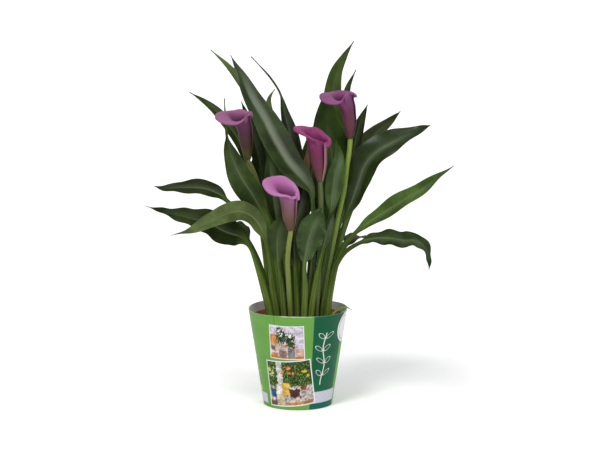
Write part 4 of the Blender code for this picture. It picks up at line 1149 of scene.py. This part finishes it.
def share_colour(low, high, share):
    return tuple(a + (b - a) * share for a, b in zip(low, high))


def scaled(colour, factor):
    return tuple(part * factor for part in colour)


def leaf_finish(name, look, seed):
    """Waxy leaf: fine slanting veins, a channelled midrib with a painted highlight beside it, a matt paler
    underside.
    """
    paint = Paint(name)
    across, s, top = paint.fact("place")
    reach, walked, flat = paint.fact("run")
    tone = look["tone"]
    spot = paint.vector(paint.add(reach, seed * 50), walked, across)
    cloud = paint.noise(paint.place(), 38.0 + 6 * seed)
    grain = paint.noise(spot, 0.9, detail=2.0)
    vein_place = paint.less(walked, paint.times(reach, VEIN_SLANT))
    wander = paint.times(paint.noise(spot, 0.16), VEIN_WANDER)
    veins = paint.math("SINE", paint.times(paint.add(vein_place, wander), TAU / VEIN_SPACING))
    veins = paint.step(veins, -0.2, 1.0)
    blade = paint.mix(paint.step(cloud, 0.3, 0.72), *(scaled(tone, part) for part in BLADE_MOTTLE))
    blade = paint.mix(paint.times(veins, 0.22), blade, scaled(tone, 1.7))
    blade = paint.mix(paint.times(paint.step(grain, 0.5, 0.8), 0.12), blade, scaled(tone, 0.4))
    # painted highlight: a pale band on one side of the midrib, over most of the blade, in place of the gloss
    # of the light
    painted_highlight = paint.times(paint.step(reach, look["reach"], 0.8), paint.between(s, 0.12, 0.80, 0.14))
    painted_highlight = paint.times(paint.times(painted_highlight, paint.step(across, -0.35, 0.12)), look["painted_highlight"] * 0.55)
    blade = paint.mix(painted_highlight, blade, PAINTED_HIGHLIGHT_TONE)
    rib = paint.times(paint.step(reach, 1.7, 0.5), paint.step(s, 1.0, 0.0))
    upper = paint.mix(paint.times(rib, 0.55), blade, share_colour(tone, RIB_TONE, 0.75))
    margin = paint.step(paint.math("ABSOLUTE", across), 0.965, 0.995)
    upper = paint.mix(paint.times(margin, 0.35), upper, RIB_TONE)
    under_tone = share_colour(tone, UNDER_TONE, UNDER_SHARE)
    under = paint.mix(paint.step(cloud, 0.3, 0.75), *(scaled(under_tone, part) for part in UNDER_MOTTLE))
    under = paint.mix(paint.times(veins, 0.18), under, scaled(under_tone, 0.6))
    under = paint.mix(paint.times(rib, 0.8), under, RIB_TONE)
    sheet = paint.mix(top, under, upper)
    shade = random.Random(name).uniform(*PETIOLE_SHADES)
    neck_tone, foot_tone = (scaled(share_colour(part, tone, 0.25), shade) for part in PETIOLE_TONES)
    strands = paint.vector(paint.times(across, 9.0), paint.times(walked, 0.012), paint.times(top, 5.0))
    streaks = paint.noise(strands, 1.3, detail=4.0)
    stalk = paint.mix(paint.step(s, -0.05, -1.0), neck_tone, foot_tone)
    stalk = paint.mix(paint.step(streaks, 0.46, 0.34), stalk, paint.mix(0.45, stalk, YOUNG_STRAND))
    stalk = paint.mix(paint.step(streaks, 0.50, 0.62), stalk, paint.mix(0.72, stalk, DARK_STRAND))
    colour = paint.mix(flat, stalk, sheet)
    rough = paint.add(paint.times(cloud, 0.16), look["rough"] - 0.08)
    rough = paint.add(rough, paint.times(paint.less(1.0, top), 0.16))
    fine = paint.bump(paint.add(veins, paint.times(grain, 0.6)), 0.00005, 0.6)
    broad = paint.bump(paint.noise(paint.place(), 90.0), 0.0006, 0.35, under=fine)
    return paint.finish(Base_Color=colour, Roughness=rough, Normal=broad, IOR=1.42,
                        Specular_IOR_Level=look["gloss"])


def stem_finish(name, top_tone, foot_tone):
    paint = Paint(name)
    around, share, _ = paint.fact("place")
    turn = paint.times(around, TAU)
    fibre = paint.vector(paint.math("COSINE", turn), paint.math("SINE", turn), paint.times(share, 1.5))
    streaks = paint.noise(fibre, 5.0, detail=4.0)
    tone = paint.ramp(share, [(0.0, scaled(foot_tone, 0.7)), (0.35, foot_tone), (1.0, top_tone)])
    colour = paint.mix(paint.step(streaks, 0.4, 0.7), tone, paint.mix(0.35, tone, scaled(foot_tone, 0.35)))
    rough = paint.add(paint.times(streaks, 0.2), 0.3)
    return paint.finish(Base_Color=colour, Roughness=rough, Normal=paint.bump(streaks, 0.0003, 0.4),
                        IOR=1.42, Specular_IOR_Level=0.4)


def spathe_finish(name, look):
    """Petal: colours that run from foot to lip, fine lengthwise veins, a velvety soft sheen."""
    paint = Paint(name)
    u, v, inside = paint.fact("place")
    outside = paint.ramp(v, list(zip(SPATHE_STOPS, look["outside"])))
    within = paint.ramp(v, list(zip(SPATHE_STOPS, look["inside"])))
    colour = paint.mix(inside, outside, within)
    cloud = paint.noise(paint.place(), 60.0)
    wander = paint.times(paint.noise(paint.vector(u, v), 6.0), 0.02)
    veins = paint.math("SINE", paint.times(paint.add(u, wander), TAU * SPATHE_VEINS))
    veins = paint.times(paint.step(veins, 0.1, 1.0), paint.step(v, 0.05, 0.4))
    deep = paint.mix(0.5, colour, look["inside"][1])
    colour = paint.mix(paint.times(veins, 0.12), colour, deep)
    colour = paint.mix(paint.times(paint.step(cloud, 0.45, 0.75), 0.30), colour, deep)
    flap = paint.times(paint.step(u, 0.12, 0.0), paint.step(v, 1.0, 0.8))
    colour = paint.mix(paint.times(flap, look["flap"] / 6), colour, FLAP_TONE)
    edge = paint.step(v, 0.965, 1.0)
    colour = paint.mix(paint.times(edge, 0.35), colour, scaled(look["inside"][3], 0.55))
    rough = paint.add(paint.times(cloud, 0.2), 0.38)
    fine = paint.bump(veins, 0.00003, 0.4)
    broad = paint.bump(paint.noise(paint.place(), 110.0), 0.0005, 0.4, under=fine)
    return paint.finish(Base_Color=colour, Roughness=rough, Normal=broad, IOR=1.40,
                        Specular_IOR_Level=0.2, Sheen_Weight=0.05, Sheen_Roughness=0.4,
                        Sheen_Tint=(1.0, 0.75, 0.95))


def spadix_finish():
    paint = Paint("spadix")
    floret, _, _ = paint.fact("place")
    grain = paint.noise(paint.place(), 900.0)
    colour = paint.mix(floret, (0.16, 0.055, 0.012), (0.62, 0.30, 0.055))
    colour = paint.mix(paint.times(grain, 0.35), colour, (0.75, 0.45, 0.12))
    return paint.finish(Base_Color=colour, Roughness=paint.add(0.55, paint.times(grain, 0.3)),
                        Normal=paint.bump(grain, 0.0002, 0.6))


def bud_finish():
    paint = Paint("bud")
    wrap, share, _ = paint.fact("place")
    cloud = paint.noise(paint.place(), 55.0)
    streaks = paint.noise(paint.vector(paint.times(wrap, 9.0), paint.times(share, 2.0)), 3.0, detail=4.0)
    colour = paint.ramp(share, [(0.0, (0.115, 0.105, 0.030)), (0.35, (0.120, 0.070, 0.026)),
                                (0.75, (0.105, 0.050, 0.030)), (1.0, (0.120, 0.060, 0.040))])
    colour = paint.mix(paint.step(streaks, 0.4, 0.7), colour, paint.mix(0.5, colour, (0.035, 0.020, 0.010)))
    colour = paint.mix(paint.times(paint.step(wrap, 0.90, 0.99), 0.4), colour, (0.22, 0.12, 0.08))
    return paint.finish(Base_Color=colour, Roughness=paint.add(0.36, paint.times(cloud, 0.2)),
                        Normal=paint.bump(streaks, 0.0003, 0.5), Specular_IOR_Level=0.4)


def stub_finish():
    paint = Paint("dry_stub")
    around, share, _ = paint.fact("place")
    streaks = paint.noise(paint.vector(paint.times(around, 14.0), share), 2.0, detail=4.0)
    colour = paint.mix(streaks, (0.20, 0.12, 0.05), (0.52, 0.40, 0.22))
    return paint.finish(Base_Color=colour, Roughness=0.8, Normal=paint.bump(streaks, 0.0005, 0.6))


def pot_finish():
    """Terracotta-red moulded plastic, faintly mottled, with soil dust low inside."""
    paint = Paint("pot_plastic")
    cloud = paint.noise(paint.place(), 45.0)
    grain = paint.noise(paint.place(), 1400.0, detail=2.0)
    height = paint.parts(paint.place())[2]
    colour = paint.mix(paint.step(cloud, 0.3, 0.7), (0.48, 0.150, 0.100), (0.60, 0.220, 0.150))
    dust = paint.times(paint.step(height, 0.121, 0.112), paint.step(cloud, 0.35, 0.65))
    colour = paint.mix(paint.times(dust, 0.5), colour, (0.10, 0.04, 0.025))
    return paint.finish(Base_Color=colour, Roughness=paint.add(0.36, paint.times(cloud, 0.2)),
                        Normal=paint.bump(grain, 0.0001, 0.4))


def soil_finish():
    """Damp peat with reddish bark: crumbs differ in shade."""
    if "soil_crumbly" in bpy.data.materials:
        return bpy.data.materials["soil_crumbly"]
    paint = Paint("soil_crumbly")
    shade, warm, _ = paint.fact("crumb")
    clumps = paint.noise(paint.place(), 420.0, detail=6.0, roughness=0.7)
    dark = paint.mix(clumps, (0.010, 0.006, 0.005), (0.060, 0.034, 0.024))
    barky = paint.mix(clumps, (0.060, 0.022, 0.014), (0.190, 0.075, 0.045))
    colour = paint.mix(paint.step(warm, 0.55, 0.75), dark, barky)
    colour = paint.mix(paint.step(shade, 0.955, 0.965), colour, (0.42, 0.36, 0.30))
    return paint.finish(Base_Color=colour, Roughness=0.92, Normal=paint.bump(clumps, 0.0012, 0.8))


def tuber_finish():
    paint = Paint("tuber_skin")
    height = paint.parts(paint.place())[2]
    cloud = paint.noise(paint.place(), 120.0, detail=5.0)
    rings = paint.math("SINE", paint.add(paint.times(height, 2600.0), paint.times(cloud, 6.0)))
    colour = paint.mix(cloud, (0.070, 0.036, 0.018), (0.210, 0.125, 0.060))
    colour = paint.mix(paint.times(paint.step(rings, 0.4, 1.0), 0.5), colour, (0.050, 0.026, 0.014))
    return paint.finish(Base_Color=colour, Roughness=0.85, Normal=paint.bump(cloud, 0.0008, 0.7))


# --- the printed sleeve ---
def in_panel(paint, x, y, panel):
    """Places 0 to 1 across and up a tilted printed picture, and whether a point is in it."""
    (cx, cy), (wide, tall), tilt = panel["centre"], panel["size"], math.radians(panel["tilt"])
    dx, dy = paint.less(x, cx), paint.less(y, cy)
    along = paint.add(paint.times(dx, math.cos(tilt)), paint.times(dy, math.sin(tilt)))
    up = paint.less(paint.times(dy, math.cos(tilt)), paint.times(dx, math.sin(tilt)))
    p = paint.add(paint.times(along, 1 / wide), 0.5)
    q = paint.add(paint.times(up, 1 / tall), 0.5)
    return p, q, paint.inside(p, q, (0, 1, 0, 1), 0.004)


def block(paint, colour, p, q, box, tone, rough):
    """A block of one tone in a picture; rough is how ragged its edge is."""
    if rough:
        jolt = paint.noise(paint.vector(p, q), 16.0, colour=True)
        jx, jy, _ = paint.parts(jolt)
        p = paint.add(p, paint.times(paint.less(jx, 0.5), rough))
        q = paint.add(q, paint.times(paint.less(jy, 0.5), rough))
    return paint.mix(paint.inside(p, q, box, 0.008), colour, tone)


def clump(paint, colour, p, q, centre, size, flower, tones):
    """A clump of leaves in a picture, with small flowers in its upper part."""
    dx, dy = paint.less(p, centre[0]), paint.less(q, centre[1])
    away = paint.length(paint.times(dx, 1 / size[0]), paint.times(dy, 1 / size[1]))
    fan = paint.vector(paint.times(p, 2.2), paint.times(q, 0.9), centre[0] * 9)
    blades = paint.noise(fan, 17.0, detail=5.0)
    here = paint.step(paint.add(away, paint.times(paint.less(blades, 0.5), 2.6)), 1.0, 0.84)
    light = paint.noise(fan, 30.0, detail=4.0)
    green = paint.mix(paint.step(light, 0.48, 0.62), tones[0], tones[1])
    green = paint.mix(paint.step(light, 0.62, 0.74), green, scaled(tones[1], 2.0))
    colour = paint.mix(here, colour, green)
    jolt, other, _ = paint.parts(paint.noise(paint.vector(p, q), 20.0, colour=True))
    petals = paint.vector(paint.add(p, paint.times(jolt, 0.06)), paint.add(q, paint.times(other, 0.06)))
    dots = paint.step(paint.cells(petals, 13.0), 0.52, 0.40)
    high = paint.times(paint.step(dy, -0.15 * size[1], 0.2 * size[1]), paint.step(away, 1.15, 0.85))
    tinted = paint.mix(paint.step(light, 0.35, 0.55), scaled(flower, 0.6), flower)
    return paint.mix(paint.times(dots, high), colour, tinted)


def printed_light(paint, colour, p, q):
    """Uneven light over a printed picture: broad shade and fine texture."""
    broad = paint.step(paint.noise(paint.vector(p, q, 4.0), 7.0, detail=2.0), 0.35, 0.65, 0.62, 1.1)
    fine = paint.step(paint.noise(paint.vector(p, q, 8.0), 38.0, detail=4.0), 0.36, 0.64, 0.72, 1.12)
    return paint.mix(1.0, colour, paint.times(broad, fine), kind="MULTIPLY")


def add_plants(paint, colour, p, q, blocks, clumps, leaves):
    """The blocks and the clumps of leaves that make up a picture, and the light over them."""
    for box, tone, rough in blocks:
        colour = block(paint, colour, p, q, box, tone, rough)
    for centre, size, flower in clumps:
        colour = clump(paint, colour, p, q, centre, size, flower, leaves)
    return printed_light(paint, colour, p, q)


def upper_picture(paint, p, q):
    """Plants with white flowers in a grey pot, before a pale wall."""
    planks = paint.step(paint.math("SINE", paint.times(q, TAU * 9)), 0.92, 1.0)
    wall = paint.mix(paint.times(planks, 0.35), (0.62, 0.56, 0.66), (0.34, 0.30, 0.40))
    return add_plants(paint, wall, p, q, UPPER_BLOCKS, UPPER_CLUMPS, UPPER_LEAVES)


def lower_picture(paint, p, q):
    """Plants in coloured pots on a pale table, before dark leaves."""
    mottle = paint.noise(paint.vector(p, q), 22.0, detail=5.0)
    colour = paint.mix(paint.step(mottle, 0.42, 0.70), (0.012, 0.030, 0.008), (0.16, 0.24, 0.05))
    colour = block(paint, colour, p, q, *LOWER_POST)
    table = paint.mix(paint.step(mottle, 0.42, 0.62), (0.64, 0.58, 0.54), (0.28, 0.21, 0.19))
    colour = block(paint, colour, p, q, LOWER_TABLE, table, 0.10)
    return add_plants(paint, colour, p, q, LOWER_BLOCKS, LOWER_CLUMPS, LOWER_LEAVES)


def add_picture(paint, colour, x, y, panel, picture):
    p, q, here = in_panel(paint, x, y, panel)
    low, high = PICTURE_FRAME, 1 - PICTURE_FRAME
    within = paint.inside(p, q, (low, high, low, high), 0.003)
    framed = paint.mix(within, PRINT_WHITE, picture(paint, p, q))
    return paint.mix(here, colour, framed)


def add_sprig(paint, colour, turn, height):
    """A white line drawing of a sprig with paired leaves, up the dark band."""
    low, high = SPRIG_SPAN
    out, half_long, half_wide = SPRIG_LEAF
    aside = paint.times(paint.less(turn, SPRIG_TURN), 1.03)
    sway = paint.times(paint.math("SINE", paint.times(height, TAU / 52)), 2.2)
    aside = paint.less(aside, sway)
    away = paint.math("ABSOLUTE", aside)
    line = paint.step(away, 0.95, 0.55)
    cell = paint.math("WRAP", height, SPRIG_STEP, -SPRIG_STEP)
    beside = paint.less(away, out)
    slant = paint.less(cell, paint.times(beside, SPRIG_SLANT))
    rim = paint.length(paint.times(beside, 1 / half_long), paint.times(slant, 1 / half_wide))
    leaves = paint.inside(rim, height, (0.84, 1.0, low + SPRIG_STEP, high), 0.05, 0.5)
    line = paint.math("MAXIMUM", paint.times(line, paint.between(height, low, high - 5, 0.5)), leaves)
    return paint.mix(line, colour, PRINT_WHITE)


def card_finish():
    """Coated card: light green and dark green print with two pictures outside, white inside."""
    paint = Paint("printed_card")
    inside, _, _ = paint.fact("card")
    px, py, pz = paint.parts(paint.place())
    turn = paint.math("ARCTAN2", px, paint.times(py, -1.0))
    height = paint.times(pz, 1 / MM)
    drop = SLEEVE_RIM_RADIUS - SLEEVE_FOOT_RADIUS
    slope = drop / math.hypot(drop, SLEEVE_HEIGHT)
    reach = paint.times(paint.add(paint.times(height, drop / SLEEVE_HEIGHT), SLEEVE_FOOT_RADIUS), 1 / slope)
    angle = paint.times(turn, slope)
    x = paint.times(reach, paint.math("SINE", angle))
    y = paint.less(paint.times(reach, paint.math("COSINE", angle)), SLEEVE_FOOT_RADIUS / slope)
    turn = paint.math("DEGREES", turn)
    cloud = paint.noise(paint.place(), 30.0)
    fibres = paint.noise(paint.place(), 2200.0, detail=2.0)
    green = paint.mix(paint.step(cloud, 0.3, 0.7), scaled(LIGHT_GREEN, 0.93), scaled(LIGHT_GREEN, 1.07))
    left, right = BAND_TURN
    band = paint.between(turn, left, right, 0.35)
    dark = paint.mix(paint.step(cloud, 0.3, 0.7), DARK_GREEN, scaled(DARK_GREEN, 1.4))
    colour = paint.mix(band, green, dark)
    colour = add_sprig(paint, colour, turn, height)
    lines = paint.step(paint.math("SINE", paint.times(height, TAU / STRIP_LINES)), 0.2, 0.8)
    strip = paint.mix(paint.times(lines, 0.5), (0.52, 0.52, 0.60), (0.22, 0.22, 0.28))
    low_band = paint.between(turn, left + 1.5, right + 6, 0.35)
    colour = paint.mix(paint.times(low_band, paint.between(height, STRIP_LOW, BAND_LOW, 0.4)), colour, strip)
    colour = paint.mix(paint.times(low_band, paint.between(height, -1.0, STRIP_LOW, 0.4)), colour, TEAL)
    colour = paint.mix(paint.inside(turn, height, SIDE_PATCH, 0.4), colour, (0.52, 0.50, 0.62))
    petals = paint.cells(paint.vector(paint.times(turn, 0.12), paint.times(height, 0.12)), 1.0)
    flowers = paint.times(paint.inside(turn, height, SIDE_FLOWERS, 2.0, 4.0), paint.step(petals, 0.30, 0.12))
    colour = paint.mix(paint.times(flowers, 0.4), colour, (0.62, 0.72, 0.48))
    colour = paint.mix(paint.inside(turn, height, SIDE_SPOT, 1.0, 0.8), colour, (0.72, 0.56, 0.02))
    colour = add_picture(paint, colour, x, y, UPPER_PICTURE, upper_picture)
    colour = add_picture(paint, colour, x, y, LOWER_PICTURE, lower_picture)
    (bx, by), size = BADGE["centre"], BADGE["radius"]
    away = paint.length(paint.less(x, bx), paint.less(y, by))
    ring = paint.between(away, size * 0.80, size * 0.84, 0.2)
    badge = paint.mix(ring, PRINT_WHITE, scaled(DARK_GREEN, 2.0))
    colour = paint.mix(paint.step(away, size + 0.2, size - 0.2), colour, badge)
    # a crease near the top of the sleeve: it dents the card, and the dark line it lays on the print is
    # painted shade in the fold
    crease_and_painted_shade = paint.times(paint.step(paint.math("ABSOLUTE", paint.less(turn, CREASE_TURN)), 0.45, 0.1),
                         paint.step(height, 124.0, 127.0))
    colour = paint.mix(paint.times(crease_and_painted_shade, 0.6), colour, (0.02, 0.06, 0.02))
    rim = paint.step(height, SLEEVE_HEIGHT - 1.0, SLEEVE_HEIGHT - 0.2)
    worn = paint.times(rim, paint.step(cloud, 0.4, 0.6))
    colour = paint.mix(paint.times(worn, 0.6), colour, PRINT_WHITE)
    board = paint.mix(fibres, (0.88, 0.85, 0.85), (0.92, 0.90, 0.90))
    colour = paint.mix(inside, colour, board)
    rough = paint.add(paint.add(0.40, paint.times(inside, 0.3)), paint.times(cloud, 0.1))
    fine = paint.bump(fibres, 0.00004, 0.5)
    dents = paint.bump(paint.noise(paint.place(), 14.0, detail=1.0), 0.004, 0.22, under=fine)
    normal = paint.bump(crease_and_painted_shade, 0.0006, 0.8, under=dents)
    return paint.finish(Base_Color=colour, Roughness=rough, Normal=normal, Specular_IOR_Level=0.15)


def floor_finish():
    paint = Paint("pale_floor")
    grain = paint.noise(paint.place(), 0.6)
    return paint.finish(Base_Color=paint.mix(grain, (0.945, 0.945, 0.945), (0.955, 0.955, 0.955)),
                        Roughness=0.9, Specular_IOR_Level=0.1)


# --- stage ---
def make_stage():
    scene = bpy.context.scene
    camera = bpy.data.cameras.new("camera")
    camera.lens = CAMERA_LENS
    camera.clip_end = 4 * FLOOR_HALF
    eye = bpy.data.objects.new("camera", camera)
    eye.location = CAMERA_PLACE
    eye.rotation_euler = (math.radians(90 - CAMERA_PITCH), 0, 0)
    scene.collection.objects.link(eye)
    scene.camera = eye
    for name, (source, strength, width, colour) in SUNS.items():
        light = bpy.data.lights.new(name, "SUN")
        light.energy = strength
        light.angle = math.radians(width)
        light.color = colour
        lamp = bpy.data.objects.new(name, light)
        lamp.rotation_mode = "QUATERNION"
        lamp.rotation_quaternion = Vector(source).to_track_quat("Z", "Y")
        scene.collection.objects.link(lamp)
    world = bpy.data.worlds.new("studio")
    world.use_nodes = True
    air = world.node_tree.nodes["Background"]
    air.inputs["Color"].default_value = (*WORLD_COLOUR, 1)
    air.inputs["Strength"].default_value = WORLD_LIGHT
    scene.world = world
    half = FLOOR_HALF
    mesh = bpy.data.meshes.new("floor")
    mesh.from_pydata([(-half, -half, 0), (half, -half, 0), (half, half, 0), (-half, half, 0)], [],
                     [(0, 1, 2, 3)])
    mesh.materials.append(floor_finish())
    floor = bpy.data.objects.new("floor", mesh)
    scene.collection.objects.link(floor)
    scene.view_settings.view_transform = "Standard"
    scene.view_settings.look = "None"


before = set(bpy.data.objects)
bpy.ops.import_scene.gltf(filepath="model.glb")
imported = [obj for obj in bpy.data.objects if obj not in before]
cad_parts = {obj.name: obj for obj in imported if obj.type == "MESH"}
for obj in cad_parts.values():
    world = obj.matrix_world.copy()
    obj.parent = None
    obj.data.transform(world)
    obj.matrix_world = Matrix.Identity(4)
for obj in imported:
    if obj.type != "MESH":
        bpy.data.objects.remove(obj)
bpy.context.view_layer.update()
looks = bpy.data.collections.new("looks")
bpy.context.scene.collection.children.link(looks)
make_stage()
card_sleeve()
nursery_pot()
soil()
dry_stub()
for tuber in ("tuber_left", "tuber_right_front", "tuber_right_back"):
    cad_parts[tuber].data.materials.clear()
    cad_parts[tuber].data.materials.append(tuber_finish())
for name, spec in LEAVES.items():
    leaf(name, spec)
leaf("leaf_over_rim", RIM_LEAF)
for name, spec in FLOWERS.items():
    flower_stem(name, spec)
    spathe(name, spec)
    spadix(name, spec)
bud()
bpy.context.view_layer.update()
